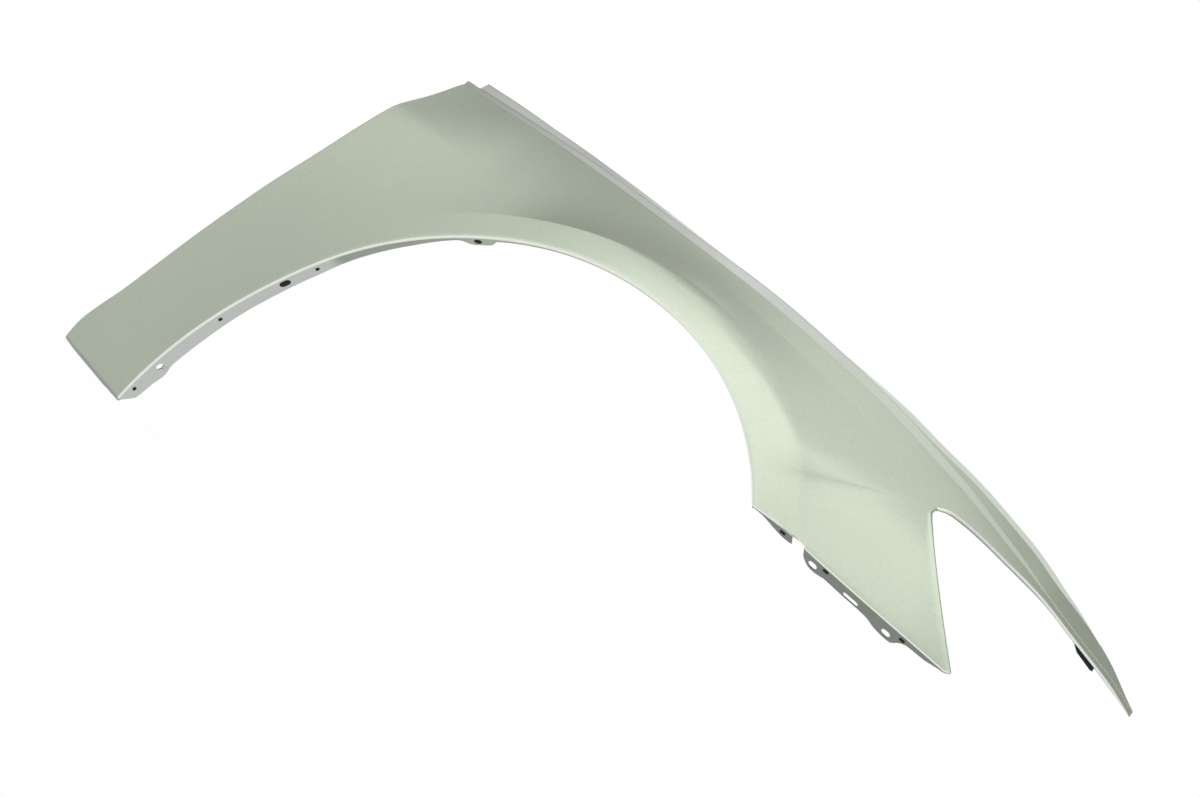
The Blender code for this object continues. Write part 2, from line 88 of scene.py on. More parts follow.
# Side-view outlines. Each point is a share of the panel's length, measured forward from
# the wheel centre, and a share of its height, measured up from there.
outline = {
    "doorEdge": (
        (-0.4915, 0.030), (-0.489, 0.074), (-0.480, 0.126), (-0.470, 0.175), (-0.4615, 0.228),
        (-0.4395, 0.381), (-0.4155, 0.530), (-0.3905, 0.671), (-0.3785, 0.767), (-0.370, 0.861),
    ),
    "doorCorner": ((-0.370, 0.861), (-0.3603, 0.922), (-0.3545, 0.986)),
    "hoodEdge": (
        (-0.3545, 0.986), (-0.273, 0.9885), (-0.210, 0.9905), (-0.138, 0.987), (-0.023, 0.977),
        (0.060, 0.969), (0.140, 0.953), (0.190, 0.942), (0.224, 0.930), (0.266, 0.912),
        (0.301, 0.897), (0.353, 0.869), (0.404, 0.838), (0.446, 0.811), (0.4885, 0.785),
        (0.5135, 0.763),
    ),
    "lampEdge": (
        (0.3035, 0.8345), (0.3028, 0.820), (0.3065, 0.809), (0.3118, 0.797), (0.3355, 0.745),
        (0.366, 0.679), (0.404, 0.597),
    ),
    "tailEdge": (
        (0.3035, 0.8345), (0.3105, 0.844), (0.320, 0.847), (0.335, 0.8465), (0.370, 0.838),
        (0.407, 0.8265), (0.4465, 0.803), (0.4885, 0.777), (0.515, 0.753),
    ),
    "bumperEdge": ((0.237, 0.618), (0.270, 0.613), (0.306, 0.608), (0.404, 0.597)),
    # How far up the columns the lamp notch stands, and where on the hood edge the tail starts
    "notchColumnShare": 0.765,
    "tailStartShare": 0.757,
}


def smoothStep(start, end, value):
    share = min(1.0, max(0.0, (value - start) / (end - start)))
    return share * share * (3 - 2 * share)


def readTable(table, place):
    # Reads a table of (place, value) pairs along straight lines from pair to pair.
    pairs = sorted(table, key=lambda pair: pair[0])
    if place <= pairs[0][0]:
        return pairs[0][1]
    for (before, value), (after, nextValue) in zip(pairs, pairs[1:]):
        if place <= after:
            blend = (place - before) / (after - before)
            return value + (nextValue - value) * blend
    return pairs[-1][1]


def readCurve(table, place):
    # Reads the same kind of table along a smooth curve through its pairs.
    pairs = sorted(table)
    place = min(pairs[-1][0], max(pairs[0][0], place))
    index = 0
    while index < len(pairs) - 2 and place > pairs[index + 1][0]:
        index += 1
    slopes = []
    for pair in (index, index + 1):
        before = pairs[max(0, pair - 1)]
        after = pairs[min(len(pairs) - 1, pair + 1)]
        slopes.append((after[1] - before[1]) / (after[0] - before[0]))
    span = pairs[index + 1][0] - pairs[index][0]
    return blendCurve(
        pairs[index][1], pairs[index + 1][1], slopes[0] * span, slopes[1] * span,
        (place - pairs[index][0]) / span,
    )


def blendCurve(start, end, startSlope, endSlope, share):
    square = share * share
    cube = square * share
    return (
        start * (2 * cube - 3 * square + 1)
        + startSlope * (cube - 2 * square + share)
        + end * (3 * square - 2 * cube)
        + endSlope * (cube - square)
    )


def sidePoints(shares):
    return [Vector((along * fender["length"], up * fender["height"])) for along, up in shares]


def railPoint(points, share):
    # A smooth curve through the points, read at a share of its length.
    steps = [(after - before).length for before, after in zip(points, points[1:])]
    target = share * sum(steps)
    index = 0
    while index < len(steps) - 1 and target > steps[index]:
        target -= steps[index]
        index += 1
    slopes = [(after - before) / step for before, after, step in zip(points, points[1:], steps)]
    beforeSlope = slopes[max(0, index - 1)]
    afterSlope = slopes[min(len(slopes) - 1, index + 1)]
    step = steps[index]
    return blendCurve(
        points[index], points[index + 1], (beforeSlope + slopes[index]) / 2 * step,
        (slopes[index] + afterSlope) / 2 * step, target / step,
    )


doorEdge = sidePoints(outline["doorEdge"])
doorCorner = sidePoints(outline["doorCorner"])
hoodEdge = sidePoints(outline["hoodEdge"])
lampEdge = sidePoints(outline["lampEdge"])
tailEdge = sidePoints(outline["tailEdge"])
tipPlace = tailEdge[-1].x
sillPlace = doorEdge[0].x

# How far the skin lies inboard of the outermost plane. Shares are of the panel's length
# along the car and of its height upwards.
skin = {
    "sideInset": 0.016,
    "doorInset": 0.008,
    "doorStartShare": -0.236,
    "shoulderDepthShare": 0.1532,
    "shoulderFootShare": 0.504,
    "shoulderPower": 3,
    "noseSweepShare": 0.1436,
    "noseStartShare": -0.136,
    "nosePower": 2.2,
    "hoodLineShare": 0.0222,
    "hoodDropShare": 0.24,
    "hoodDropStartShare": -0.10,
    "hoodDropPower": 2.3,
    "sillTuck": 0.009,
    "sillTuckShare": 0.3024,
    "foldDepth": 0.005,
    "foldSoftness": 0.0008,  # metres over which the fold is rounded
    "foldStartShare": -0.371,
    "foldEndShare": -0.254,
    "foldHeightShare": 0.847,
    "foldTopShare": 0.986,
}


def skinDepth(x, z):
    # How far the plain skin lies inboard at one point of the side view.
    length = fender["length"]
    height = fender["height"]
    noseStart = skin["noseStartShare"] * length
    nose = max(0.0, (x - noseStart) / (tipPlace - noseStart))
    doorStart = skin["doorStartShare"] * length
    door = max(0.0, (doorStart - x) / (doorStart - sillPlace))
    dropStart = skin["hoodDropStartShare"] * length
    drop = max(0.0, (x - dropStart) / (tipPlace - dropStart))
    hoodLine = height + skin["hoodLineShare"] * height
    hoodHeight = hoodLine - skin["hoodDropShare"] * height * drop ** skin["hoodDropPower"]
    foot = skin["shoulderFootShare"] * height
    power = skin["shoulderPower"]
    shoulder = max(0.0, (z - foot) / (hoodHeight - foot))
    shoulderLift = shoulder ** power
    tuckHeight = skin["sillTuckShare"] * height
    tuck = max(0.0, (tuckHeight - z) / tuckHeight)
    foldFade = 1 - smoothStep(skin["foldStartShare"] * length, skin["foldEndShare"] * length, x)
    foldHeight = skin["foldHeightShare"] * height
    if z > foldHeight:
        # Above the fold the rear of the skin runs straight up to the hood edge.
        low = (foldHeight - foot) / (hoodHeight - foot)
        top = (skin["foldTopShare"] * height - foot) / (hoodHeight - foot)
        rise = (shoulder - low) / (top - low)
        straight = low ** power * (1 - rise) + top ** power * rise
        shoulderLift += (straight - shoulderLift) * foldFade
    foldLift = math.log1p(math.exp((z - foldHeight) / skin["foldSoftness"]))
    foldSpan = height * (1 - skin["foldHeightShare"]) / skin["foldSoftness"]
    return (
        skin["sideInset"]
        + skin["noseSweepShare"] * length * nose ** skin["nosePower"]
        + skin["doorInset"] * door ** 2
        + skin["shoulderDepthShare"] * height * shoulderLift
        + skin["sillTuck"] * tuck ** 2
        + skin["foldDepth"] * foldFade * foldLift / foldSpan
    )


# Angles round the arch are in degrees, from straight back over the top towards the front.
# The lip's distances from the wheel centre are shares of the arch's radius.
wheelArch = {
    "radiusShare": 0.37,
    "riseShare": 0.8206,
    "rearAngle": 179.8,
    "foldCornerAngle": 138,
    "hoodCornerAngle": 132,
    "waistShiftAngle": 100,
    "notchAngle": 60,
    "frontAngle": 53.9,
    "lipShares": (
        (179.8, 1.036), (170.0, 1.013), (161.0, 0.998), (151.0, 0.990), (138.0, 0.991),
        (120.0, 0.994), (103.0, 1.002), (88.0, 1.003), (76.0, 0.995), (68.0, 0.981),
        (60.0, 0.956), (53.9, 0.929),
    ),
}
archRadius = wheelArch["radiusShare"] * fender["length"]
archRise = wheelArch["riseShare"] * fender["height"]


def archLip(angle):
    share = readCurve(wheelArch["lipShares"], angle)
    turn = math.radians(angle)
    return share * Vector((archRadius * math.cos(turn), archRise * math.sin(turn)))


def outerEdge(angle):
    # The point of the door edge or hood edge that faces a point of the arch.
    rear = wheelArch["rearAngle"]
    fold = wheelArch["foldCornerAngle"]
    hood = wheelArch["hoodCornerAngle"]
    if angle >= fold:
        return railPoint(doorEdge, (rear - angle) / (rear - fold))
    if angle >= hood:
        return railPoint(doorCorner, (fold - angle) / (fold - hood))
    share = (hood - angle) / (hood - wheelArch["notchAngle"])
    return railPoint(hoodEdge, share * outline["tailStartShare"])


# Raised band round the wheel arch, with a crease along its outer side
flare = {
    "bandWidth": 0.028,
    "bandGrowth": 0.014,
    "growthAngle": 112,
    "fullAngle": 76,
    "height": 0.011,
    "crown": 0.012,
    "fade": 0.120,
    "shrink": 0.97,  # of the distance from the lip, which widens the flare a little
    "peakAngle": 82,
    "rearSpan": 50,
    "frontSpan": 40,
    "creaseHeightShare": 0.94,
    "creaseFullAngle": 106,
    "creaseFrontAngle": 64,
}


def bandAt(angle):
    # Width of the band from the lip to the crease.
    growth = smoothStep(flare["growthAngle"], flare["fullAngle"], angle)
    return flare["bandWidth"] + flare["bandGrowth"] * growth


def flareLift(angle, distance, reach):
    # How far the flare stands outboard of the plain skin at a distance from the lip.
    span = flare["rearSpan"] if angle > flare["peakAngle"] else flare["frontSpan"]
    turn = min(1.0, abs(angle - flare["peakAngle"]) / span)
    height = flare["height"] + flare["crown"] * math.cos(math.pi / 2 * turn) ** 2
    band = bandAt(angle)
    fade = min(flare["fade"], reach - band)
    soft = max(0.0, 1 - distance / (band + fade)) ** 2
    if distance < band:
        creased = 1 - (1 - flare["creaseHeightShare"]) * distance / band
    else:
        creased = flare["creaseHeightShare"] * max(0.0, 1 - (distance - band) / fade) ** 2
    sharpness = smoothStep(wheelArch["foldCornerAngle"], flare["creaseFullAngle"], angle)
    sharpness *= smoothStep(wheelArch["frontAngle"], flare["creaseFrontAngle"], angle)
    return height * (soft + (creased - soft) * sharpness)


def skinPoint(place, lift=0.0):
    return Vector((place.x, skinDepth(place.x, place.y) - lift, place.y))


def finer(shares, parts):
    # Adds even steps between the shares.
    fine = []
    for share, nextShare in zip(shares, shares[1:]):
        fine += [share + (nextShare - share) * part / parts for part in range(parts)]
    return fine + [shares[-1]]


# Grid of the pressed skin: its main columns and rows, and into how many parts each strip
# between two of them is cut. The band rows end at the crease, and the bumper rows follow
# the tabs of the bumper flange on the panel's front edge.
grid = {
    "doorColumns": 18,
    "cornerColumns": 3,
    "hoodColumns": 36,
    "legColumns": 8,
    "tailColumns": 28,
    "columnParts": 3,
    "legBunching": 1.6,  # power that crowds the leg's columns towards the notch
    "bandRows": (0.0, 0.36, 0.52, 1.0),
    "bumperBandShare": 0.186,
    "bumperRows": (
        0.197, 0.262, 0.284, 0.309, 0.376, 0.46, 0.55, 0.60, 0.64, 0.68, 0.725, 0.765, 0.80,
        0.89, 0.95, 1.0,
    ),
    "rowParts": 3,
    "upperRows": 4,
    "upperParts": 8,
    "creaseRowShare": 0.035,
    "creaseSeamParts": 25,
    "creaseEvenParts": 3,
    "bendParts": 6,
    "flatParts": 2,
    "cornerParts": 5,
}

# A narrow row on each side of the crease keeps it crisp.
bandRows = finer(grid["bandRows"], grid["rowParts"])
bandRows.insert(-1, 1 - grid["creaseRowShare"])
seamRows = finer((grid["bumperBandShare"],) + grid["bumperRows"], grid["rowParts"])
evenRows = [row / (len(seamRows) - 1) for row in range(len(seamRows))]
seamRows.insert(1, seamRows[0] + grid["creaseRowShare"] / grid["creaseSeamParts"])
evenRows.insert(1, grid["creaseRowShare"] / grid["creaseEvenParts"])


def columnPlaces(angle, outer, waist, bumperBlend=0.0):
    # Side-view places of one column, from the arch lip past the waist to the outer edge.
    lip = archLip(angle)
    waistLength = (waist - lip).length
    turn = math.radians(angle)
    radial = Vector((math.cos(turn), math.sin(turn)))
    lean = (waist - lip).normalized().dot(radial)
    bandShare = bandAt(angle) / lean / waistLength
    bandShare += (grid["bumperBandShare"] - bandShare) * bumperBlend
    places = [lip + (waist - lip) * bandShare * share for share in bandRows]
    for evenShare, bumperShare in zip(evenRows[1:], seamRows[1:]):
        seamShare = (bumperShare - grid["bumperBandShare"]) / (1 - grid["bumperBandShare"])
        share = evenShare + (seamShare - evenShare) * bumperBlend
        places.append(lip + (waist - lip) * (bandShare + (1 - bandShare) * share))
    if outer is not None:
        count = grid["upperRows"] * grid["upperParts"]
        for row in range(1, count + 1):
            places.append(waist + (outer - waist) * row / count)
    return places


def columnPoints(angle, places):
    # Lifts one column's places off the plain skin by the flare.
    lip = places[0]
    reach = (places[-1] - lip).length
    return [
        skinPoint(place, flareLift(angle, (place - lip).length * flare["shrink"], reach))
        for place in places
    ]


def mainAngles():
    # Arch angles of the columns from the sill to the lamp notch.
    angles = []
    spans = (
        (wheelArch["rearAngle"], wheelArch["foldCornerAngle"], grid["doorColumns"]),
        (wheelArch["foldCornerAngle"], wheelArch["hoodCornerAngle"], grid["cornerColumns"]),
        (wheelArch["hoodCornerAngle"], wheelArch["notchAngle"], grid["hoodColumns"]),
    )
    for start, end, columns in spans:
        count = columns * grid["columnParts"]
        angles += [start + (end - start) * index / count for index in range(count)]
    return angles + [wheelArch["notchAngle"]]


def legAngles():
    # Arch angles of the columns from the lamp notch to the bumper seam.
    turn = wheelArch["frontAngle"] - wheelArch["notchAngle"]
    count = grid["legColumns"] * grid["columnParts"]
    return [wheelArch["notchAngle"] + turn * index / count for index in range(1, count + 1)]


def waistPlace(angle, outer):
    # The row that meets the top of the lamp notch in the last full column.
    notchAngle = wheelArch["notchAngle"]
    columnShare = outline["notchColumnShare"]
    lip = archLip(angle)
    straight = lip + (outer - lip) * columnShare
    lastLip = archLip(notchAngle)
    lastStraight = lastLip + (outerEdge(notchAngle) - lastLip) * columnShare
    shift = lampEdge[0] - lastStraight
    return straight + shift * smoothStep(wheelArch["waistShiftAngle"], notchAngle, angle)


def bumperPlaces(places):
    # Bends the last leg column to the seam with the bumper.
    seam = [places[0]] + sidePoints(outline["bumperEdge"])
    total = (places[-1] - places[0]).length
    return [railPoint(seam, (place - places[0]).length / total) for place in places]


# Tones of the paint along the sheet, on a scale from painted shade to painted highlights:
# painted shade darkens seams, grooves, flange flats and the dim hem bends, and the bright
# hems carry painted highlights. The paint's own colour lies at the skin's tone and the arch
# flange's colour, partly painted light, at the arch's.
toneScale = {
    "flat": 0.0,
    "grooveShade": 0.1,
    "sillHemShade": 0.2,
    "doorHemShade": 0.3,
    "skin": 0.4,
    "arch": 0.7,
    "hem": 1.0,
}


def addRow(mesh, points, tones=None):
    layer = mesh.verts.layers.float["tone"]
    row = [mesh.verts.new(point) for point in points]
    for vertex, tone in zip(row, tones or [toneScale["skin"]] * len(row)):
        vertex[layer] = tone
    return row


def addStrip(mesh, row, nextRow):
    # Joins two rows with faces. Where a row stays on one point, the face is a triangle.
    faces = []
    for index in range(len(row) - 1):
        corners = (row[index], row[index + 1], nextRow[index + 1], nextRow[index])
        faces.append(mesh.faces.new(tuple(dict.fromkeys(corners))))
    return faces


def hemPart(edge, outward, inboard, widths, radii, bendPaintedLight, flatTones):
    # One length of a flange: a list with what each of its stations needs.
    return list(zip(
        edge, outward, inboard, widths, radii, [bendPaintedLight] * len(edge), flatTones,
    ))


def joinParts(parts):
    # Joins flanges that meet at a corner by turning the hem round the corner's point.
    joined = list(parts[0])
    steps = grid["cornerParts"]
    for part in parts[1:]:
        before = joined[-1]
        after = part[0]
        for step in range(1, steps):
            share = step / steps
            mixed = [a + (b - a) * share for a, b in zip(before[1:], after[1:])]
            joined.append((
                before[0], mixed[0].normalized(), mixed[1].normalized(), *mixed[2:],
            ))
        joined += part
    return joined


def addFlange(mesh, stations):
    # Bends the sheet round a small radius and carries it on to its width. The bend has the
    # hem's painted highlight or painted shade, and runs from the skin's tone to the painted
    # light of the flat.
    rows = [[station[0] for station in stations]]
    bendParts = grid["bendParts"]
    for part in range(1, bendParts + 1):
        turn = math.pi / 2 * part / bendParts
        points = []
        tones = []
        for vertex, away, inward, width, radius, bendPaintedLight, flatTone in stations:
            points.append(
                vertex.co + away * radius * math.sin(turn)
                + inward * radius * (1 - math.cos(turn))
            )
            bendTones = (
                (0, toneScale["skin"]), (1, bendPaintedLight), (bendParts - 1, bendPaintedLight),
                (bendParts, flatTone),
            )
            tones.append(readTable(bendTones, part))
        rows.append(addRow(mesh, points, tones))
    flatTones = [station[6] for station in stations]
    for part in range(1, grid["flatParts"] + 1):
        points = []
        for vertex, station in zip(rows[bendParts], stations):
            width = max(station[3], station[4] * flanges["leastWidthShare"])
            points.append(vertex.co + station[2] * width * part / grid["flatParts"])
        rows.append(addRow(mesh, points, flatTones))
    for row, nextRow in zip(rows, rows[1:]):
        addStrip(mesh, row, nextRow)
    return rows[bendParts], rows[-1]


def edgeNormals(edge, towards):
    # Directions square to an edge in the side view, on the side that a point lies on.
    normals = []
    for index, vertex in enumerate(edge):
        before = edge[max(0, index - 1)].co
        after = edge[min(len(edge) - 1, index + 1)].co
        normal = Vector((before.z - after.z, 0, after.x - before.x)).normalized()
        if normal.dot(towards - vertex.co) < 0:
            normal.negate()
        normals.append(normal)
    return normals


def tilted(tilt):
    # A direction turned inboard from straight down, by degrees.
    turn = math.radians(tilt)
    return Vector((0, math.sin(turn), -math.cos(turn)))


def softTable(table, place, reach):
    # Reads a table with its corners rounded over a reach to each side.
    steps = 3
    shifts = [step / steps for step in range(-steps, steps + 1)]
    return sum(readTable(table, place + shift * reach) for shift in shifts) / len(shifts)


def flangeHole(row, places, place, inboard, distance, length, width):
    # A hole in the flat of a flange, at a distance from the row where its bend ends.
    points = [vertex.co for vertex in row]
    centre = readTable(zip(places, points), place) + inboard * distance
    nearest = min(range(1, len(row) - 1), key=lambda index: abs(places[index] - place))
    along = (points[nearest + 1] - points[nearest - 1]).normalized()
    return centre, inboard.cross(along).normalized(), along, length, width


def buildSkin(mesh):
    # Three fields of columns: over the arch, the leg behind the lamp, and the tail above it.
    columns = []
    for angle in mainAngles():
        outer = outerEdge(angle)
        places = columnPlaces(angle, outer, waistPlace(angle, outer))
        columns.append(addRow(mesh, columnPoints(angle, places)))
    for column, nextColumn in zip(columns, columns[1:]):
        addStrip(mesh, column, nextColumn)

    waistRow = len(bandRows) + len(seamRows) - 2
    count = grid["legColumns"] * grid["columnParts"]
    leg = [columns[-1][:waistRow + 1]]
    for index, angle in enumerate(legAngles(), 1):
        share = index / count
        waist = railPoint(lampEdge, share ** grid["legBunching"])
        places = columnPlaces(angle, None, waist, smoothStep(0, 1, share))
        if index == count:
            places = bumperPlaces(places)
        leg.append(addRow(mesh, columnPoints(angle, places)))
    for column, nextColumn in zip(leg, leg[1:]):
        addStrip(mesh, column, nextColumn)

    count = grid["tailColumns"] * grid["columnParts"]
    rows = grid["upperRows"] * grid["upperParts"]
    tailStart = outline["tailStartShare"]
    tail = [columns[-1][waistRow:]]
    for index in range(1, count + 1):
        share = index / count
        lower = railPoint(tailEdge, share)
        upper = railPoint(hoodEdge, tailStart + (1 - tailStart) * share)
        places = [lower + (upper - lower) * row / rows for row in range(rows + 1)]
        tail.append(addRow(mesh, [skinPoint(place) for place in places]))
    for column, nextColumn in zip(tail, tail[1:]):
        addStrip(mesh, column, nextColumn)
    return columns, leg, tail


# Hood side: rolled edge, facet over the lamp, step, bolting ledge and its three pads.
# Slopes are in degrees above the horizontal. Widths are given as shares of each strip's
# width, at shares of the hood edge's length from the rear.
hoodSide = {
    "bendRadius": 0.0016,
    "bendLimit": 0.45,  # of the width of the strips beside a bend
    "bendParts": 4,
    "sweepShare": 0.06,  # of the hood edge, where its rear end is swept back
    "rollWidth": 0.020,
    "rollRise": 35,
    "rollSweep": 0.007,
    "rollShares": (
        (0.0, 0.60), (0.15, 0.60), (0.30, 0.72), (0.42, 0.90), (0.52, 1.0), (0.62, 0.90),
        (0.74, 0.82), (0.80, 0.55), (0.84, 0.42), (0.875, 0.14), (0.90, 0.10), (1.0, 0.05),
    ),
    # The roll's tones are painted light: a painted highlight that dims to a slight painted shade
    # towards the tip.
    "rollPaintedLight": (
        (0.0, 0.48), (0.08, 0.62), (0.20, 0.80), (0.42, 0.80), (0.58, 0.55), (0.72, 0.42),
        (1.0, 0.38),
    ),
    "facetWidth": 0.021,
    "facetRise": 50,
    "facetShares": (
        (0.0, 0.06), (0.60, 0.06), (0.69, 0.14), (0.74, 0.36), (0.79, 0.64), (0.84, 0.84),
        (0.88, 0.92), (0.925, 0.94), (0.955, 0.64), (0.98, 0.22), (1.0, 0.03),
    ),
    "stepWidth": 0.0025,
    "stepRise": -10,
    "ledgeWidth": 0.016,
    "ledgeRise": 27,
    "ledgeSweep": 0.006,
    "ledgeStartShare": 0.014,
    "ledgeEndShare": 0.94,
    "ledgeShares": ((0.0, 1.0), (0.87, 1.0), (0.90, 0.6), (0.935, 0.05), (1.0, 0.0)),
    "ledgeRiseShares": (
        (0.0, 1.80), (0.06, 1.70), (0.12, 1.35), (0.28, 0.85), (0.42, 0.35), (0.56, 0.35),
        (0.66, 0.9), (1.0, 1.0),
    ),
    # The ledge's tones are painted light: a painted highlight at the rear that turns to painted
    # shade towards the tip.
    "ledgePaintedLight": (
        (0.0, 0.70), (0.05, 0.82), (0.14, 0.82), (0.30, 0.42), (0.60, 0.22), (1.0, 0.20),
    ),
    "ledgeToneRows": (0.10, 0.88),  # across the ledge, where its own tone starts and ends
    "padColumns": (3, 17, 30),
    "padDrop": 0.003,
    "padReach": 0.004,
    "padLength": 0.024,
    "padCorner": 0.005,
}


def roundedCorners(points):
    # Rounds each inner corner of a cross-section and leaves its two ends out.
    rounded = []
    parts = hoodSide["bendParts"]
    limit = hoodSide["bendLimit"]
    for before, corner, after in zip(points, points[1:], points[2:]):
        into = corner - before
        out = after - corner
        cut = min(hoodSide["bendRadius"], limit * into.length, limit * out.length)
        start = corner - into.normalized() * cut
        end = corner + out.normalized() * cut
        for part in range(parts + 1):
            share = part / parts
            rounded.append(
                start * (1 - share) ** 2 + corner * 2 * share * (1 - share) + end * share ** 2
            )
    return rounded


def buildHoodSide(mesh, columns, tail):
    # Follows the hood edge from the door corner to the tip.
    columnParts = grid["columnParts"]
    cornerColumn = (grid["doorColumns"] + grid["cornerColumns"]) * columnParts
    full = columns[cornerColumn:] + tail[1:]
    edge = [column[-1].co.copy() for column in full]
    inward = []
    for index in range(len(edge)):
        before = edge[max(0, index - 1)]
        after = edge[min(len(edge) - 1, index + 1)]
        inward.append(Vector((before.y - after.y, after.x - before.x, 0)).normalized())
    hoodCount = grid["hoodColumns"] * columnParts
    tailCount = grid["tailColumns"] * columnParts
    tailStart = outline["tailStartShare"]
    shares = [tailStart * index / hoodCount for index in range(hoodCount)]
    shares += [
        tailStart + (1 - tailStart) * index / tailCount for index in range(tailCount + 1)
    ]

    def sloped(point, index, rise, width):
        turn = math.radians(rise)
        return point + (inward[index] * math.cos(turn) + Vector((0, 0, math.sin(turn)))) * width

    bendParts = hoodSide["bendParts"]
    lower = []
    upper = {}
    for index, share in enumerate(shares):
        sweep = max(0.0, 1 - share / hoodSide["sweepShare"]) ** 2
        rollWidth = hoodSide["rollWidth"] * readCurve(hoodSide["rollShares"], share)
        roll = sloped(edge[index], index, hoodSide["rollRise"], rollWidth)
        roll.x -= hoodSide["rollSweep"] * sweep
        facetWidth = hoodSide["facetWidth"] * readCurve(hoodSide["facetShares"], share)
        facet = sloped(roll, index, hoodSide["facetRise"], facetWidth)
        section = [full[index][-2].co, edge[index], roll, facet]
        if hoodSide["ledgeStartShare"] <= share <= hoodSide["ledgeEndShare"]:
            foot = sloped(facet, index, hoodSide["stepRise"], hoodSide["stepWidth"])
            rise = hoodSide["ledgeRise"] * readTable(hoodSide["ledgeRiseShares"], share)
            ledgeWidth = hoodSide["ledgeWidth"] * readTable(hoodSide["ledgeShares"], share)
            ledge = sloped(foot, index, rise, ledgeWidth)
            ledge.x -= hoodSide["ledgeSweep"] * sweep
            rounded = roundedCorners(section + [foot, ledge])
            # The lower rows end where the bend above the facet starts.
            count = 2 * (bendParts + 1)
            lower.append(rounded[:count + 1])
            rim = rounded[-1]
            inner = [rim.lerp(ledge, along) for along in hoodSide["ledgeToneRows"]]
            upper[index] = rounded[count + 1:] + inner + [ledge]
        else:
            lower.append(roundedCorners(section) + [facet])

    for column, points in zip(full, lower):
        column[-1].co = points[0]
    rows = [[column[-1] for column in full]]
    # The roll starts past its bend and ends at the next one. Its tones are painted light,
    # mostly a painted highlight.
    rollPaintedLight = [readTable(hoodSide["rollPaintedLight"], share) for share in shares]
    for row in range(1, len(lower[0])):
        onRoll = bendParts <= row <= bendParts + 1
        rows.append(addRow(
            mesh, [points[row] for points in lower], rollPaintedLight if onRoll else None,
        ))
    for row, nextRow in zip(rows, rows[1:]):
        addStrip(mesh, row, nextRow)

    # Painted shade darkens the foot of the step and the ledge's edge, with the ledge's painted
    # light between.
    kept = sorted(upper)
    ledgeRows = [[rows[-1][index] for index in kept]]
    ledgePaintedLight = [readTable(hoodSide["ledgePaintedLight"], shares[index]) for index in kept]
    grooveShadeRow = [toneScale["grooveShade"]] * len(kept)
    rowTones = [None] * bendParts + [grooveShadeRow] * (bendParts + 1)
    rowTones += [ledgePaintedLight, ledgePaintedLight, grooveShadeRow]
    for row, tones in enumerate(rowTones):
        ledgeRows.append(addRow(mesh, [upper[index][row] for index in kept], tones))
    for row, nextRow in zip(ledgeRows, ledgeRows[1:]):
        addStrip(mesh, row, nextRow)
    return addPads(mesh, ledgeRows[-1], kept, inward)


def addPads(mesh, ledge, kept, inward):
    # Bolt pads that hang from the ledge's edge, each with two rounded corners.
    columnParts = grid["columnParts"]
    corner = hoodSide["padCorner"]
    pads = []
    for column in hoodSide["padColumns"]:
        first = kept.index((column + 1) * columnParts)
        span = ledge[first:first + 2 * columnParts + 1]
        direction = inward[(column + 2) * columnParts]
        height = min(vertex.co.z for vertex in span) - hoodSide["padDrop"]
        near = []
        for vertex in span:
            point = vertex.co + direction * hoodSide["padReach"]
            point.z = height
            near.append(point)
        along = (near[-1] - near[0]).normalized()
        half = (near[-1] - near[0]).length / 2
        middle = (near[0] + near[-1]) / 2
        far = []
        for point in near:
            over = max(0.0, abs((point - middle).dot(along)) - half + corner)
            trim = corner - math.sqrt(max(0.0, corner ** 2 - over ** 2))
            far.append(point + direction * (hoodSide["padLength"] - trim))
        between = [vertex.co + (point - vertex.co) / 2 for vertex, point in zip(span, near)]
        nearRow = addRow(mesh, near)
        betweenRow = addRow(mesh, between)
        addStrip(mesh, span, betweenRow)
        addStrip(mesh, betweenRow, nearRow)
        addStrip(mesh, nearRow, addRow(mesh, far))
        pads.append((near[columnParts] + direction * hoodSide["padLength"] / 2, along))
    return pads


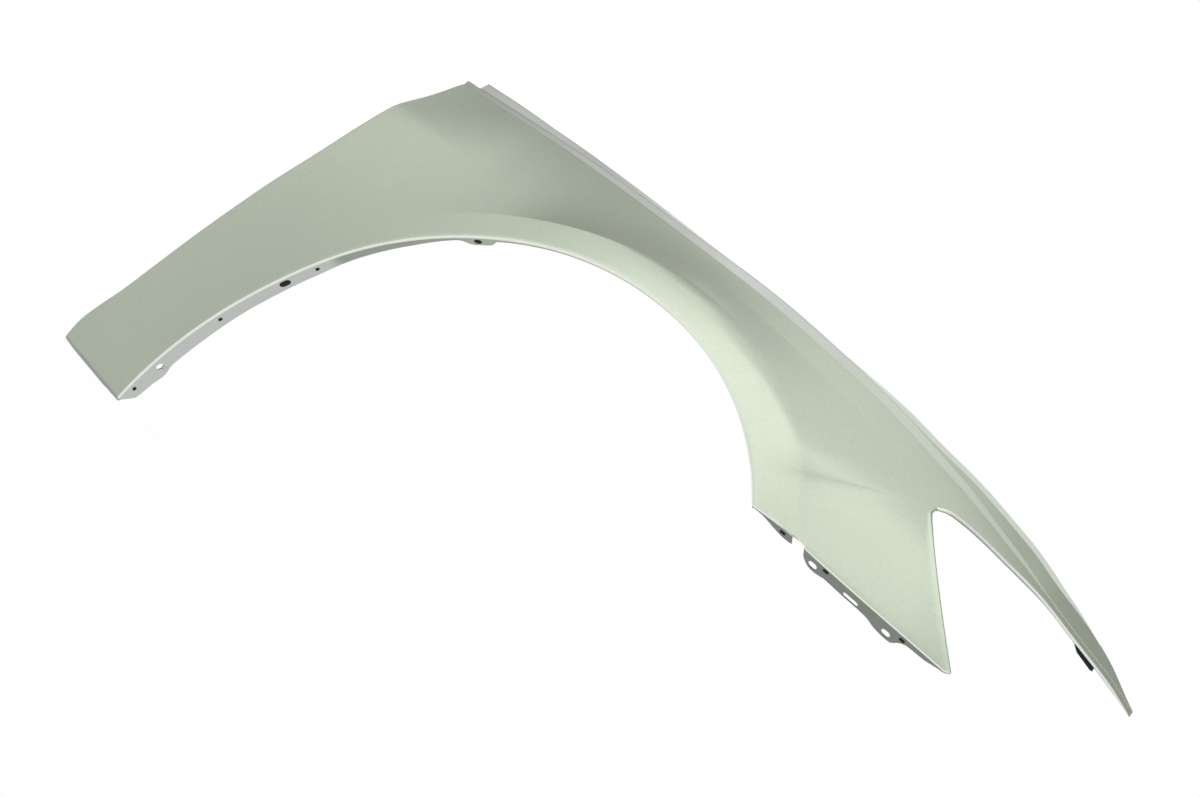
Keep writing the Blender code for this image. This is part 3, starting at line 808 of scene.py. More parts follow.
# Flanges round the rest of the panel. Tilts are in degrees, turned inboard from straight
# down. Widths are given as shares of each flange's width, at angles round the arch or at
# shares of the length of the bumper, sill or tail edge.
flanges = {
    "archWidth": 0.024,
    "archShares": (
        (179.8, 0.04), (178.5, 0.78), (176.2, 0.90), (174.8, 0.92), (174.2, 1.04),
        (172.4, 1.04), (171.8, 0.86), (165.0, 0.84), (158.0, 0.76), (152.0, 0.74),
        (144.5, 0.70), (141.0, 0.58), (138.6, 0.53), (134.0, 0.47), (129.6, 0.40),
        (125.0, 0.24), (122.0, 0.16), (121.2, 0.20), (120.7, 0.62), (116.9, 0.60),
        (116.2, 0.18), (112.0, 0.14), (105.0, 0.12), (98.0, 0.12), (86.0, 0.16),
        (70.0, 0.20), (53.5, 0.20),
    ),
    "archSoftness": 0.5,  # degrees over which the table's corners are rounded
    "archFlangeLightAndShade": (
        # The arch flange's tones: its own paler coat with painted light towards the rear, and
        # painted shade further forward, a little less on the tab.
        (179.8, toneScale["arch"]), (142.4, toneScale["arch"]), (140.6, 0.22), (122.0, 0.22),
        (120.4, 0.36), (116.6, 0.36), (115.0, 0.22), (53.5, 0.22),
    ),
    "bumperWidth": 0.020,
    "bumperTilt": 55,
    "bumperShares": (
        (0.0, 0.02), (0.055, 0.10), (0.118, 0.40), (0.163, 0.52), (0.197, 0.46), (0.262, 0.40),
        (0.284, 0.75), (0.309, 0.82), (0.333, 0.81), (0.376, 0.66), (0.46, 0.69), (0.55, 0.68),
        (0.60, 0.72), (0.64, 0.94), (0.68, 1.0), (0.725, 1.0), (0.765, 0.55), (0.80, 0.34),
        (0.89, 0.30), (0.95, 0.12), (1.0, 0.02),
    ),
    "bumperSoftness": 0.010,  # the same for its table, as a share of the edge
    "sillWidth": 0.009,
    "sillTilt": 65,
    "sillShares": ((0.0, 0.30), (0.2, 0.75), (0.8, 0.65), (1.0, 0.15)),
    "doorWidth": 0.012,
    "doorTaperColumns": 2,
    "lampWidth": 0.008,
    "lampTilt": 74,
    "lampShare": 0.12,
    "lampCentre": (0.48, 0.69),
    "lampTightColumns": (3, 12),  # from the notch, where the hem starts and ends tightening
    "tailShares": ((0.0, 0.10), (0.09, 0.38), (0.40, 0.38), (0.56, 0.12), (1.0, 0.05)),
    "tipTaperColumns": 12,  # over which the hem's radius shrinks to the tip
    "tipRadiusShare": 0.1,
    "leastWidthShare": 0.25,  # of the bend radius
    "tabTilt": 25,
    "tabLength": 0.0048,
    "tabColumns": (19, 22),
    "tabShares": ((0.0, 0.1), (0.2, 0.8), (0.92, 1.0), (1.0, 0.8)),
}

# Holes in the flanges: length and width, angle round the arch and distance from the bend,
# or place along the bumper edge and distance as a share of the bumper flange's width
holeSizes = {
    "archPin": (0.004, 0.004),
    "archPinAngles": (177.4, 161.2, 144.6),
    "archPinInset": 0.0068,
    "archRound": (0.0078, 0.0078),
    "archRoundAngle": 172.6,
    "archRoundInset": 0.0090,
    "archTabAngle": 119.0,
    "archOval": (0.012, 0.0085),
    "archOvalAngle": 150.0,
    "bumperOval": (0.010, 0.007),
    "bumperOvalPlaces": ((0.314, 0.48), (0.698, 0.66)),
    "bumperSlot": (0.018, 0.005),
    "bumperSlotPlaces": ((0.513, 0.50),),
    "bumperPin": (0.006, 0.0024),
    "bumperPinPlaces": ((0.380, 0.16), (0.777, 0.26)),
    "bumperTabPinPlaces": ((0.150, 0.22),),
    "pad": (0.007, 0.007),
    "cutterOverrun": 0.005,
    "cutterSides": 40,
    "rimShare": 1.5,  # of the sheet's thickness
}


def buildFlanges(mesh, columns, leg, tail):
    # Returns the holes and the plugged holes, each as a centre, normal, direction and size.
    inboard = Vector((0, 1, 0))
    wheelCentre = Vector((0, 0, 0))
    below = Vector((0, 0, -fender["height"]))
    behind = Vector((2 * sillPlace, 0, 0))
    lampAlong, lampUp = flanges["lampCentre"]
    lampCentre = Vector((fender["length"] * lampAlong, 0, fender["height"] * lampUp))
    slope = tilted(flanges["bumperTilt"])
    bendRadius = fender["bendRadius"]
    seamRadius = fender["seamRadius"]
    bendPaintedLight = toneScale["hem"]
    flatTone = toneScale["flat"]
    columnParts = grid["columnParts"]
    holes = []
    plugs = []

    def seamPart(seam, places):
        widths = [
            flanges["bumperWidth"]
            * softTable(flanges["bumperShares"], place, flanges["bumperSoftness"])
            for place in places
        ]
        count = len(seam)
        return hemPart(
            seam, edgeNormals(seam, below), [slope] * count, widths, [seamRadius] * count,
            bendPaintedLight, [flatTone] * count,
        )

    def bumperHoles(kind, row, places, holePlaces, size):
        for place, share in holePlaces:
            distance = share * flanges["bumperWidth"]
            kind.append(flangeHole(row, places, place, slope, distance, *size))

    # One run: the short tab of the bumper seam, the arch, the sill and the door edge
    seamPlaces = [share * grid["bumperBandShare"] for share in bandRows] + seamRows[1:]
    tabEnd = seamPlaces.index(grid["bumperRows"][0]) + 1
    tabPlaces = seamPlaces[:tabEnd]
    tabPart = seamPart(leg[-1][:tabEnd], tabPlaces)

    arch = [column[0] for column in columns] + [column[0] for column in leg[1:]]
    angles = mainAngles() + legAngles()
    archWidths = [
        flanges["archWidth"] * softTable(flanges["archShares"], angle, flanges["archSoftness"])
        for angle in angles
    ]
    archFlangeLightAndShade = [readTable(flanges["archFlangeLightAndShade"], angle) for angle in angles]
    archPart = hemPart(
        arch, edgeNormals(arch, wheelCentre), [inboard] * len(arch), archWidths,
        [bendRadius] * len(arch), bendPaintedLight, archFlangeLightAndShade,
    )

    sill = columns[0]
    count = len(sill)
    sillWidths = [
        flanges["sillWidth"] * readTable(flanges["sillShares"], index / (count - 1))
        for index in range(count)
    ]
    sillPart = hemPart(
        sill, edgeNormals(sill, below), [tilted(flanges["sillTilt"])] * count, sillWidths,
        [fender["sillRadius"]] * count, toneScale["sillHemShade"], [flatTone] * count,
    )

    count = (grid["doorColumns"] + grid["cornerColumns"]) * columnParts + 1
    door = [column[-1] for column in columns[:count]]
    taper = flanges["doorTaperColumns"] * columnParts
    doorWidths = [
        flanges["doorWidth"] * min(1.0, (count - index) / taper) for index in range(count)
    ]
    doorPart = hemPart(
        door, edgeNormals(door, behind), [inboard] * count, doorWidths, [bendRadius] * count,
        toneScale["doorHemShade"], [flatTone] * count,
    )
    run = joinParts([tabPart[::-1], archPart[::-1], sillPart, doorPart])
    bend = addFlange(mesh, run)[0]

    tabBend = bend[:tabEnd][::-1]
    bumperHoles(
        plugs, tabBend, tabPlaces, holeSizes["bumperTabPinPlaces"], holeSizes["bumperPin"],
    )
    first = tabEnd + grid["cornerParts"] - 1
    archBend = bend[first:first + len(arch)][::-1]
    pinInset = holeSizes["archPinInset"]
    archHoles = [
        (plugs, angle, pinInset, holeSizes["archPin"]) for angle in holeSizes["archPinAngles"]
    ]
    archHoles += [
        (holes, holeSizes["archRoundAngle"], holeSizes["archRoundInset"], holeSizes["archRound"]),
        (plugs, holeSizes["archTabAngle"], pinInset, holeSizes["archRound"]),
        (plugs, holeSizes["archOvalAngle"], pinInset, holeSizes["archOval"]),
    ]
    for kind, angle, inset, size in archHoles:
        kind.append(flangeHole(archBend, angles, angle, inboard, inset, *size))

    # The other run: the bumper seam, the lamp's edge and the lower edge of the tail
    seamStart = seamPlaces.index(grid["bumperRows"][1])
    seam = leg[-1][seamStart:]
    places = seamPlaces[seamStart:]
    for vertex, away in zip(seam[1:-1], edgeNormals(seam, below)[1:-1]):
        vertex.co += away * (bendRadius - seamRadius)
    bumperPart = seamPart(seam, places)

    # The hem is tighter along the lamp's rear edge than round the notch and under the tail.
    lamp = [column[-1] for column in leg[:0:-1]]
    lower = [column[0] for column in tail]
    edge = lamp + lower
    start, full = flanges["lampTightColumns"]
    tightness = [
        (bendRadius - seamRadius) * smoothStep(start, full, len(lamp) - index)
        for index in range(len(edge))
    ]
    for vertex, away, tight in zip(edge, edgeNormals(edge, lampCentre), tightness):
        vertex.co += away * tight
    normals = edgeNormals(edge, lampCentre)
    lampCount = len(lamp)
    lampPart = hemPart(
        lamp, normals, [inboard] * lampCount,
        [flanges["lampWidth"] * flanges["lampShare"]] * lampCount,
        [bendRadius - tight for tight in tightness], toneScale["doorHemShade"],
        [flatTone] * lampCount,
    )
    tailCount = len(lower) - 1
    tailWidths = []
    tailRadii = []
    for index in range(tailCount + 1):
        share = readTable(flanges["tailShares"], index / tailCount)
        tailWidths.append(flanges["lampWidth"] * share)
        tip = flanges["tipRadiusShare"] + (tailCount - index) / flanges["tipTaperColumns"]
        tailRadii.append((bendRadius - tightness[lampCount + index]) * min(1.0, tip))
    tailPart = hemPart(
        lower, normals[lampCount:], [tilted(flanges["lampTilt"])] * len(lower), tailWidths,
        tailRadii, bendPaintedLight, [flatTone] * len(lower),
    )
    bend, hem = addFlange(mesh, joinParts([bumperPart, lampPart]) + tailPart)
    bend = bend[:len(seam)]
    bumperHoles(holes, bend, places, holeSizes["bumperOvalPlaces"], holeSizes["bumperOval"])
    bumperHoles(holes, bend, places, holeSizes["bumperSlotPlaces"], holeSizes["bumperSlot"])
    bumperHoles(plugs, bend, places, holeSizes["bumperPinPlaces"], holeSizes["bumperPin"])

    # A small near-black tab on the hem under the tail
    first, last = [column * columnParts for column in flanges["tabColumns"]]
    tabEdge = hem[len(hem) - len(lower):][first:last + 1]
    points = []
    for index, vertex in enumerate(tabEdge):
        share = readTable(flanges["tabShares"], index / (len(tabEdge) - 1))
        points.append(vertex.co + tilted(flanges["tabTilt"]) * flanges["tabLength"] * share)
    for face in addStrip(mesh, tabEdge, addRow(mesh, points)):
        face.material_index = 2
    return holes, plugs


def pointTree(points):
    # A search tree that finds the nearest of some points.
    tree = KDTree(len(points))
    for index, point in enumerate(points):
        tree.insert(point, index)
    tree.balance()
    return tree


def markEdgeDistance(mesh):
    # Stores how far each point of the sheet lies from the sheet's nearest free edge.
    layer = mesh.verts.layers.float["edgeDistance"]
    tree = pointTree([vertex.co for vertex in mesh.verts if vertex.is_boundary])
    for vertex in mesh.verts:
        vertex[layer] = tree.find(vertex.co)[2]


def placeMesh(mesh, name, collection):
    # Makes an object of a drawn mesh.
    data = bpy.data.meshes.new(name)
    mesh.to_mesh(data)
    mesh.free()
    made = bpy.data.objects.new(name, data)
    collection.objects.link(made)
    return made


def placedAlong(centre, normal, along):
    # Turns a shape so that its X runs along a direction and its Z along the normal.
    turned = Matrix((along, normal.cross(along), normal)).transposed().to_4x4()
    return Matrix.Translation(centre) @ turned


def addCutter(collection, centre, normal, along, length, width):
    # A round bar or a slot-shaped bar that stands through the sheet along its normal.
    mesh = bmesh.new()
    bmesh.ops.create_cone(
        mesh, cap_ends=True, segments=holeSizes["cutterSides"], radius1=width / 2,
        radius2=width / 2, depth=2 * holeSizes["cutterOverrun"],
    )
    for vertex in mesh.verts:
        vertex.co.x += math.copysign((length - width) / 2, vertex.co.x)
    cutter = placeMesh(mesh, "holeCutter", collection)
    cutter.matrix_world = placedAlong(centre, normal, along)


def toneHoles(sheet, solid):
    # The rims of the cut holes take their tone, with its painted light and shade, from the
    # sheet beside them.
    tree = pointTree([vertex.co for vertex in sheet.vertices])
    before = sheet.attributes["tone"].data
    after = solid.attributes["tone"].data
    for vertex in solid.vertices:
        index, distance = tree.find(vertex.co)[1:]
        if distance > holeSizes["rimShare"] * fender["thickness"]:
            after[vertex.index].value = before[index].value


def buildPanel(materials):
    # Draws the sheet's outer side, thickens it inwards and cuts the holes. The materials
    # are those of the outer side, the inner side and the tab.
    mesh = bmesh.new()
    mesh.verts.layers.float.new("tone")
    mesh.verts.layers.float.new("edgeDistance")
    columns, leg, tail = buildSkin(mesh)
    pads = buildHoodSide(mesh, columns, tail)
    holes, plugs = buildFlanges(mesh, columns, leg, tail)
    for centre, along in pads:
        holes.append((centre, Vector((0, 0, 1)), along, *holeSizes["pad"]))
    markEdgeDistance(mesh)

    origin = Vector(fender["origin"])
    bmesh.ops.translate(mesh, verts=mesh.verts, vec=-origin)
    bmesh.ops.recalc_face_normals(mesh, faces=mesh.faces)
    mesh.faces.ensure_lookup_table()
    if mesh.faces[0].normal.y > 0:
        bmesh.ops.reverse_faces(mesh, faces=mesh.faces)
    for face in mesh.faces:
        face.smooth = True
    panel = placeMesh(mesh, "fenderPanel", bpy.context.scene.collection)
    data = panel.data
    for material in materials:
        data.materials.append(material)

    sheet = panel.modifiers.new("sheet", "SOLIDIFY")
    sheet.thickness = fender["thickness"]
    sheet.offset = -1
    sheet.material_offset = 1

    cutters = bpy.data.collections.new("holeCutters")
    bpy.context.scene.collection.children.link(cutters)
    for centre, normal, along, length, width in holes + plugs:
        addCutter(cutters, centre - origin, normal, along, length, width)
    cut = panel.modifiers.new("holes", "BOOLEAN")
    cut.operation = "DIFFERENCE"
    cut.operand_type = "COLLECTION"
    cut.collection = cutters
    cut.solver = "EXACT"

    bpy.context.view_layer.update()
    solid = bpy.data.meshes.new_from_object(
        panel.evaluated_get(bpy.context.evaluated_depsgraph_get())
    )
    panel.modifiers.clear()
    panel.data = solid
    solid.name = "fenderPanel"
    solid.set_sharp_from_angle(angle=math.radians(fender["sharpAngle"]))
    toneHoles(data, solid)
    for cutter in list(cutters.objects):
        bpy.data.objects.remove(cutter)
    bpy.data.collections.remove(cutters)
    print("panel built", len(solid.polygons), "faces")
    return panel, [(centre - origin, *shape) for centre, *shape in plugs]


# Rubber plugs: how far they reach over the hole's rim, and how high their domes stand
plug = {
    "rim": 0.0003,
    "height": 0.0013,
    "segments": 32,
    "rings": 12,
}


def buildPlugs(plugs, material):
    # A low dome on each side of the sheet closes a small hole.
    mesh = bmesh.new()
    for centre, normal, along, length, width in plugs:
        placed = placedAlong(centre, normal, along)
        rim = width / 2 + plug["rim"]
        made = bmesh.ops.create_uvsphere(
            mesh, u_segments=plug["segments"], v_segments=plug["rings"], radius=1,
            matrix=Matrix.Identity(4),
        )
        for vertex in made["verts"]:
            x, y, z = vertex.co
            side = math.copysign((length - width) / 2, x)
            vertex.co = placed @ Vector((x * rim + side, y * rim, z * plug["height"]))
    for face in mesh.faces:
        face.smooth = True
    plugged = placeMesh(mesh, "holePlugs", bpy.context.scene.collection)
    plugged.data.materials.append(material)
    print("plugs built", len(plugs))
    return plugged


def addNode(tree, kind, place, **options):
    # Adds a node at a place and sets its own options by name.
    node = tree.nodes.new(kind)
    node.location = place
    for name, value in options.items():
        setattr(node, name, value)
    return node


def setInputs(node, values):
    # Sets a node's inputs by their labels.
    for name, value in values.items():
        node.inputs[name].default_value = value


def rangeInto(tree, value, start, end, low, high, place):
    # Stretches a value's range from start and end to low and high.
    ranged = addNode(tree, "ShaderNodeMapRange", place)
    setInputs(ranged, {"From Min": start, "From Max": end, "To Min": low, "To Max": high})
    tree.links.new(value, ranged.inputs["Value"])
    return ranged.outputs["Result"]


def mathInto(tree, operation, first, second, place, clamped=False):
    # Each input is a number or another node's output.
    node = addNode(tree, "ShaderNodeMath", place, operation=operation, use_clamp=clamped)
    joinInputs(tree, ((node.inputs[0], first), (node.inputs[1], second)))
    return node.outputs[0]


def mixInto(tree, blend, factor, first, second, place):
    # Mixes two colours. Each input is a constant or another node's output.
    mix = addNode(tree, "ShaderNodeMix", place, data_type="RGBA", blend_type=blend)
    joinInputs(tree, ((mix.inputs[0], factor), (mix.inputs[6], first), (mix.inputs[7], second)))
    return mix.outputs[2]


def joinInputs(tree, pairs):
    # Gives each socket its constant, or links it to another node's output.
    for socket, value in pairs:
        if isinstance(value, bpy.types.NodeSocket):
            tree.links.new(value, socket)
        else:
            socket.default_value = value


def attributeInto(tree, name, place):
    return addNode(tree, "ShaderNodeAttribute", place, attribute_name=name).outputs["Fac"]


def newMaterial(name):
    # Returns a material, its node tree, its shader and coordinates fixed to the object.
    material = bpy.data.materials.new(name)
    material.use_nodes = True
    tree = material.node_tree
    coordinates = addNode(tree, "ShaderNodeTexCoord", (-1500, 0)).outputs["Object"]
    return material, tree, tree.nodes["Principled BSDF"], coordinates


def makeGrainGroup():
    # Noise over the surface. Its range from Start to End becomes the range Low to High.
    group = bpy.data.node_groups.new("surfaceGrain", "ShaderNodeTree")
    group.interface.new_socket("Vector", in_out="INPUT", socket_type="NodeSocketVector")
    for name in ("Scale", "Detail", "Start", "End", "Low", "High"):
        group.interface.new_socket(name, in_out="INPUT", socket_type="NodeSocketFloat")
    group.interface.new_socket("Level", in_out="OUTPUT", socket_type="NodeSocketFloat")
    given = addNode(group, "NodeGroupInput", (-600, 0)).outputs
    noise = addNode(group, "ShaderNodeTexNoise", (-350, 100))
    for name in ("Vector", "Scale", "Detail"):
        group.links.new(given[name], noise.inputs[name])
    ranged = addNode(group, "ShaderNodeMapRange", (-100, 0))
    group.links.new(noise.outputs["Fac"], ranged.inputs["Value"])
    ends = (("Start", "From Min"), ("End", "From Max"), ("Low", "To Min"), ("High", "To Max"))
    for name, end in ends:
        group.links.new(given[name], ranged.inputs[end])
    result = addNode(group, "NodeGroupOutput", (150, 0))
    group.links.new(ranged.outputs["Result"], result.inputs["Level"])
    return group


grainGroup = makeGrainGroup()


def grainInto(tree, coordinates, grain, place):
    # Places the grain group with one finish's own values.
    node = addNode(tree, "ShaderNodeGroup", place, node_tree=grainGroup)
    setInputs(node, grain)
    tree.links.new(coordinates, node.inputs["Vector"])
    return node.outputs["Level"]


# Finish of the outer side: metallic flakes under a clear coat with a slight orange peel.
# The colour's brightness varies by the flakes' contrast and between the clouds' levels.
paint = {
    "color": (0.44, 0.495, 0.40, 1.0),
    # Painted shade, the colour of seams, grooves, flange flats and dim hem bends
    "paintedShadeColor": (0.24, 0.27, 0.235, 1.0),
    # The arch flange's own paler coat, lightened by painted light
    "archFlangeColorAndLight": (0.62, 0.645, 0.61, 1.0),
    # Painted highlight, the colour of the bright hems
    "paintedHighlightColor": (0.92, 0.94, 0.86, 1.0),
    "metallic": 0.85,
    "roughness": 0.33,
    "coatWeight": 0.30,
    "coatRoughness": 0.07,
    "coatIor": 1.5,
    "flakeSize": 0.0009,
    "flakeContrast": 0.05,
    "clouds": {
        "Scale": 1 / 0.30, "Detail": 3, "Start": 0.3, "End": 0.7, "Low": 0.97, "High": 1.03,
    },
    "peel": 0.010,
    "peelDepth": 0.001,
    "peelScale": 260,
    "peelDetail": 2,
}


def makePaint():
    material, tree, shader, coordinates = newMaterial("metallicPaint")
    flakes = addNode(tree, "ShaderNodeTexVoronoi", (-1250, 250))
    flakes.inputs["Scale"].default_value = 1 / paint["flakeSize"]
    tree.links.new(coordinates, flakes.inputs["Vector"])
    flakeTone = addNode(tree, "ShaderNodeSeparateColor", (-1050, 250))
    tree.links.new(flakes.outputs["Color"], flakeTone.inputs["Color"])
    flakeLevel = rangeInto(
        tree, flakeTone.outputs["Red"], 0, 1,
        1 - paint["flakeContrast"], 1 + paint["flakeContrast"], (-850, 250),
    )
    cloudLevel = grainInto(tree, coordinates, paint["clouds"], (-850, 0))
    # The sheet's tone picks the colour, from painted shade through the paint to painted
    # highlights.
    ramp = addNode(tree, "ShaderNodeValToRGB", (-650, -220))
    stops = ramp.color_ramp.elements
    stops[0].color = paint["paintedShadeColor"]
    stops[1].color = paint["paintedHighlightColor"]
    stops.new(toneScale["skin"]).color = paint["color"]
    stops.new(toneScale["arch"]).color = paint["archFlangeColorAndLight"]
    tree.links.new(attributeInto(tree, "tone", (-850, -220)), ramp.inputs["Fac"])
    base = mixInto(tree, "MULTIPLY", 1.0, ramp.outputs["Color"], flakeLevel, (-400, 0))
    base = mixInto(tree, "MULTIPLY", 1.0, base, cloudLevel, (-220, 0))
    tree.links.new(base, shader.inputs["Base Color"])

    peel = addNode(tree, "ShaderNodeTexNoise", (-600, -500))
    setInputs(peel, {"Scale": paint["peelScale"], "Detail": paint["peelDetail"]})
    tree.links.new(coordinates, peel.inputs["Vector"])
    bump = addNode(tree, "ShaderNodeBump", (-300, -500))
    setInputs(bump, {"Strength": paint["peel"], "Distance": paint["peelDepth"]})
    tree.links.new(peel.outputs["Fac"], bump.inputs["Height"])
    tree.links.new(bump.outputs["Normal"], shader.inputs["Coat Normal"])
    setInputs(shader, {
        "Metallic": paint["metallic"],
        "Roughness": paint["roughness"],
        "Coat Weight": paint["coatWeight"],
        "Coat Roughness": paint["coatRoughness"],
        "Coat IOR": paint["coatIor"],
    })
    return material


# Finish of the inner side: dark primer with patchy overspray of the paint along the edges
primer = {
    "color": (0.022, 0.023, 0.024, 1.0),
    "oversprayColor": (0.24, 0.27, 0.22, 1.0),
    "oversprayReach": 0.035,
    "oversprayPower": 1.8,
    "patches": {
        "Scale": 1 / 0.012, "Detail": 4, "Start": 0.3, "End": 0.7, "Low": 0.35, "High": 1.15,
    },
    "roughness": {
        "Scale": 1 / 0.012, "Detail": 4, "Start": 0.3, "End": 0.7, "Low": 0.41, "High": 0.54,
    },
    "grain": {"Scale": 700, "Detail": 2, "Start": 0, "End": 1, "Low": 0, "High": 1},
    "grainStrength": 0.05,
    "grainDepth": 0.001,
}


def makePrimer():
    material, tree, shader, coordinates = newMaterial("innerPrimer")
    distance = attributeInto(tree, "edgeDistance", (-1250, 250))
    near = rangeInto(tree, distance, 0, primer["oversprayReach"], 1, 0, (-1050, 250))
    patch = grainInto(tree, coordinates, primer["patches"], (-1050, 0))
    spray = mathInto(tree, "MULTIPLY", near, patch, (-850, 150))
    fade = mathInto(tree, "POWER", spray, primer["oversprayPower"], (-650, 150), clamped=True)
    base = mixInto(
        tree, "MIX", fade, primer["color"], primer["oversprayColor"], (-400, 100),
    )
    tree.links.new(base, shader.inputs["Base Color"])
    rough = grainInto(tree, coordinates, primer["roughness"], (-600, -150))
    tree.links.new(rough, shader.inputs["Roughness"])
    grain = grainInto(tree, coordinates, primer["grain"], (-650, -350))
    bump = addNode(tree, "ShaderNodeBump", (-400, -350))
    setInputs(bump, {"Strength": primer["grainStrength"], "Distance": primer["grainDepth"]})
    tree.links.new(grain, bump.inputs["Height"])
    tree.links.new(bump.outputs["Normal"], shader.inputs["Normal"])
    return material


# Finish of the plugs, also given to the near-black tab: matt black rubber, slightly speckled
rubber = {
    "color": (0.006, 0.006, 0.0065, 1.0),
    "speckColor": (0.012, 0.012, 0.012, 1.0),
    "specks": {"Scale": 900, "Detail": 3, "Start": 0, "End": 1, "Low": 0, "High": 1},
    "roughness": 0.6,
    "specular": 0.25,
}


def makeRubber():
    material, tree, shader, coordinates = newMaterial("plugAndTabBlack")
    specks = grainInto(tree, coordinates, rubber["specks"], (-650, 0))
    base = mixInto(tree, "MIX", specks, rubber["color"], rubber["speckColor"], (-300, 100))
    tree.links.new(base, shader.inputs["Base Color"])
    setInputs(shader, {
        "Roughness": rubber["roughness"], "Specular IOR Level": rubber["specular"],
    })
    return material


plugAndTabBlack = makeRubber()
panelFinishes = [makePaint(), makePrimer(), plugAndTabBlack]
print("materials made")
panel, plugs = buildPanel(panelFinishes)
plugged = buildPlugs(plugs, plugAndTabBlack)
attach(plugged, "root")
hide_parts("fender_panel")
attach(panel, "root")
print("panel and plugs tied to the part")


def directionFrom(azimuth, elevation):
    # A direction away from the panel. At azimuth 0 it points straight outboard.
    turn = math.radians(azimuth)
    rise = math.radians(elevation)
    return Vector((
        math.sin(turn) * math.cos(rise), -math.cos(turn) * math.cos(rise), math.sin(rise),
    ))


# Pale floor. The camera sees it as almost white, and gloss sees some of that white.
floorSheet = {
    "height": -0.5105,
    "size": 14.0,
    "color": (0.66, 0.66, 0.66, 1.0),
    "roughness": 0.9,
    "whiteShare": 0.98,
    "glossShare": 0.50,
}


def addFloor():
    data = bpy.data.meshes.new("floor")
    half = floorSheet["size"] / 2
    sides = ((-half, -half), (half, -half), (half, half), (-half, half))
    data.from_pydata([(x, y, floorSheet["height"]) for x, y in sides], [], [(0, 1, 2, 3)])
    floor = bpy.data.objects.new("floor", data)
    bpy.context.scene.collection.objects.link(floor)
    material = bpy.data.materials.new("floor")
    material.use_nodes = True
    tree = material.node_tree
    shader = tree.nodes["Principled BSDF"]
    setInputs(shader, {
        "Base Color": floorSheet["color"],
        "Roughness": floorSheet["roughness"],
        "Specular IOR Level": 0.0,
    })
    white = addNode(tree, "ShaderNodeEmission", (0, -300))
    path = addNode(tree, "ShaderNodeLightPath", (-800, 300)).outputs
    mirrored = mathInto(
        tree, "MAXIMUM", path["Is Glossy Ray"], path["Is Transmission Ray"], (-600, 200),
    )
    gloss = mathInto(tree, "MULTIPLY", mirrored, floorSheet["glossShare"], (-400, 200))
    seen = mathInto(
        tree, "MULTIPLY", path["Is Camera Ray"], floorSheet["whiteShare"], (-400, 400),
    )
    share = mathInto(tree, "MAXIMUM", seen, gloss, (-150, 300))
    mix = addNode(tree, "ShaderNodeMixShader", (250, 100))
    tree.links.new(share, mix.inputs[0])
    tree.links.new(shader.outputs[0], mix.inputs[1])
    tree.links.new(white.outputs[0], mix.inputs[2])
    output = tree.nodes["Material Output"]
    output.location = (480, 100)
    tree.links.new(mix.outputs[0], output.inputs["Surface"])
    data.materials.append(material)


# Light of the room: brighter overhead, with three soft shades. Each shade has an azimuth,
# an elevation and a level, and the cosines of the angles where it starts and is full.
room = {
    "horizonLevel": 1.0,
    "overheadLevel": 1.20,
    "overheadStart": 0.60,
    "overheadFull": 0.97,
    "shades": (
        (-108, 47, 0.45, 0.83, 0.95),
        (128, 61, 0.32, 0.85, 0.96),
        (-85, 8, 0.72, 0.70, 0.97),
    ),
}


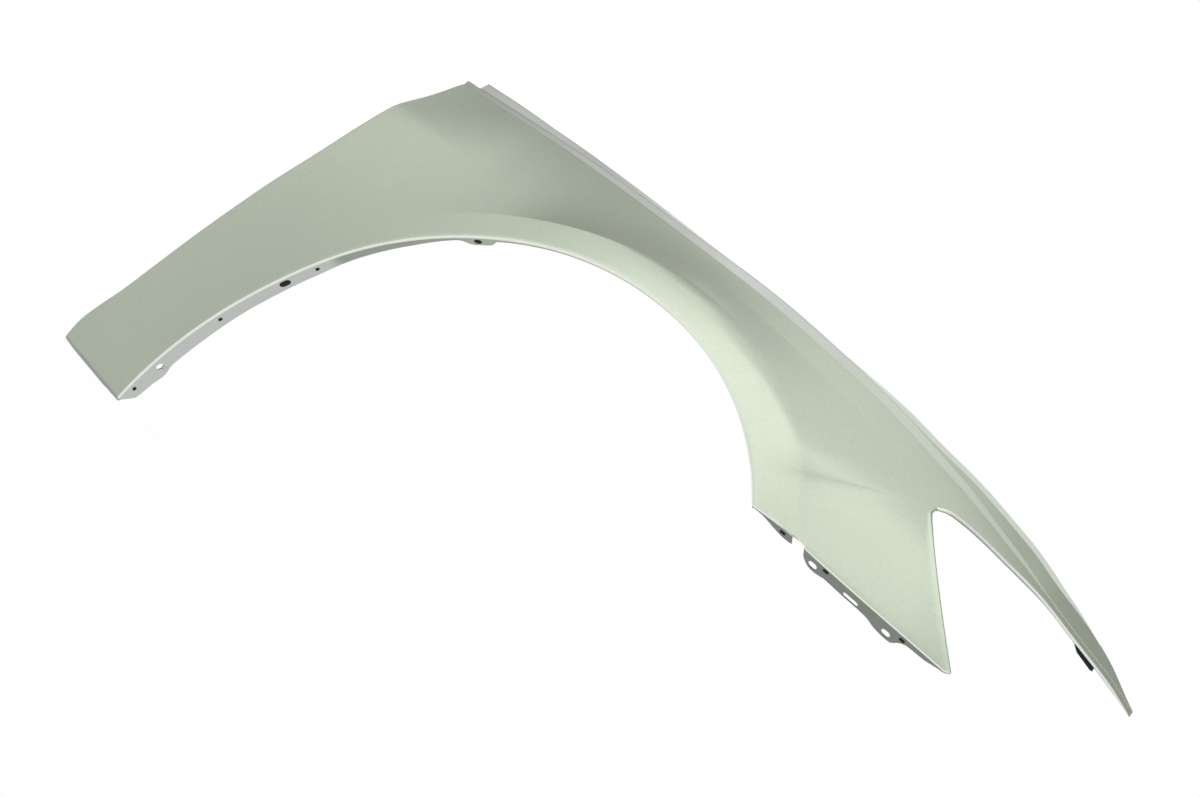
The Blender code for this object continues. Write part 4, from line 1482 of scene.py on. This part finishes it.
def addWorld():
    world = bpy.data.worlds.new("studio")
    bpy.context.scene.world = world
    world.use_nodes = True
    tree = world.node_tree
    light = tree.nodes["Background"]
    coordinates = addNode(tree, "ShaderNodeTexCoord", (-900, 0)).outputs["Generated"]
    height = addNode(tree, "ShaderNodeSeparateXYZ", (-700, 0))
    tree.links.new(coordinates, height.inputs[0])
    level = rangeInto(
        tree, height.outputs["Z"], room["overheadStart"], room["overheadFull"],
        room["horizonLevel"], room["overheadLevel"], (-500, 0),
    )
    for azimuth, elevation, shadeLevel, start, full in room["shades"]:
        facing = addNode(tree, "ShaderNodeVectorMath", (-700, -250), operation="DOT_PRODUCT")
        tree.links.new(coordinates, facing.inputs[0])
        facing.inputs[1].default_value = directionFrom(azimuth, elevation)
        shade = rangeInto(
            tree, facing.outputs["Value"], start, full, 1.0, shadeLevel, (-500, -250),
        )
        level = mathInto(tree, "MULTIPLY", level, shade, (-300, 0))
    tree.links.new(level, light.inputs["Color"])
    # The camera sees plain white behind the floor.
    white = addNode(tree, "ShaderNodeBackground", (-200, -200))
    white.inputs["Color"].default_value = (1, 1, 1, 1)
    path = addNode(tree, "ShaderNodeLightPath", (-200, 300))
    mix = addNode(tree, "ShaderNodeMixShader", (150, 100))
    tree.links.new(path.outputs["Is Camera Ray"], mix.inputs[0])
    tree.links.new(light.outputs[0], mix.inputs[1])
    tree.links.new(white.outputs[0], mix.inputs[2])
    tree.links.new(mix.outputs[0], tree.nodes["World Output"].inputs["Surface"])


# Soft lights, each with its direction, distance, width and height, and level
lights = {
    "keyLight": {
        "azimuth": -9, "elevation": 28, "distance": 2.8, "size": (3.1, 2.9), "level": 0.82,
    },
    "rimLight": {
        "azimuth": 190, "elevation": 48, "distance": 2.8, "size": (2.4, 2.2), "level": 0.40,
    },
}


def addLight(name, lamp, target):
    # An evenly bright panel. At level 1 it is as bright as a white surface.
    data = bpy.data.lights.new(name, "AREA")
    data.shape = "RECTANGLE"
    data.size, data.size_y = lamp["size"]
    data.energy = lamp["level"] * math.pi * lamp["size"][0] * lamp["size"][1]
    light = bpy.data.objects.new(name, data)
    bpy.context.scene.collection.objects.link(light)
    towards = directionFrom(lamp["azimuth"], lamp["elevation"])
    light.location = target + towards * lamp["distance"]
    light.rotation_euler = towards.to_track_quat("Z", "Y").to_euler()
    light.visible_camera = False


# The photograph's view, with angles in degrees and the lens in millimetres
view = {
    "target": (0.31606, -0.12323, -0.20793),
    "azimuth": 32,
    "elevation": -5,
    "roll": 39.5,
    "distance": 2.6,
    "lens": 82.104,
    "sensorWidth": 36,
}


def addCamera():
    data = bpy.data.cameras.new("camera")
    data.sensor_width = view["sensorWidth"]
    data.lens = view["lens"]
    camera = bpy.data.objects.new("camera", data)
    bpy.context.scene.collection.objects.link(camera)
    back = directionFrom(view["azimuth"], view["elevation"])
    turn = math.radians(view["azimuth"])
    level = Vector((math.cos(turn), math.sin(turn), 0))
    upright = level.cross(-back)
    roll = math.radians(view["roll"])
    right = level * math.cos(roll) + upright * math.sin(roll)
    up = upright * math.cos(roll) - level * math.sin(roll)
    turned = Matrix((right, up, back)).transposed().to_4x4()
    place = Vector(view["target"]) + back * view["distance"]
    camera.matrix_world = Matrix.Translation(place) @ turned
    bpy.context.scene.camera = camera


addFloor()
addWorld()
middle = (cadBounds[0] + cadBounds[1]) / 2
for name, lamp in lights.items():
    addLight(name, lamp, middle)
addCamera()
bpy.context.scene.view_settings.view_transform = "Standard"
print("studio set up")
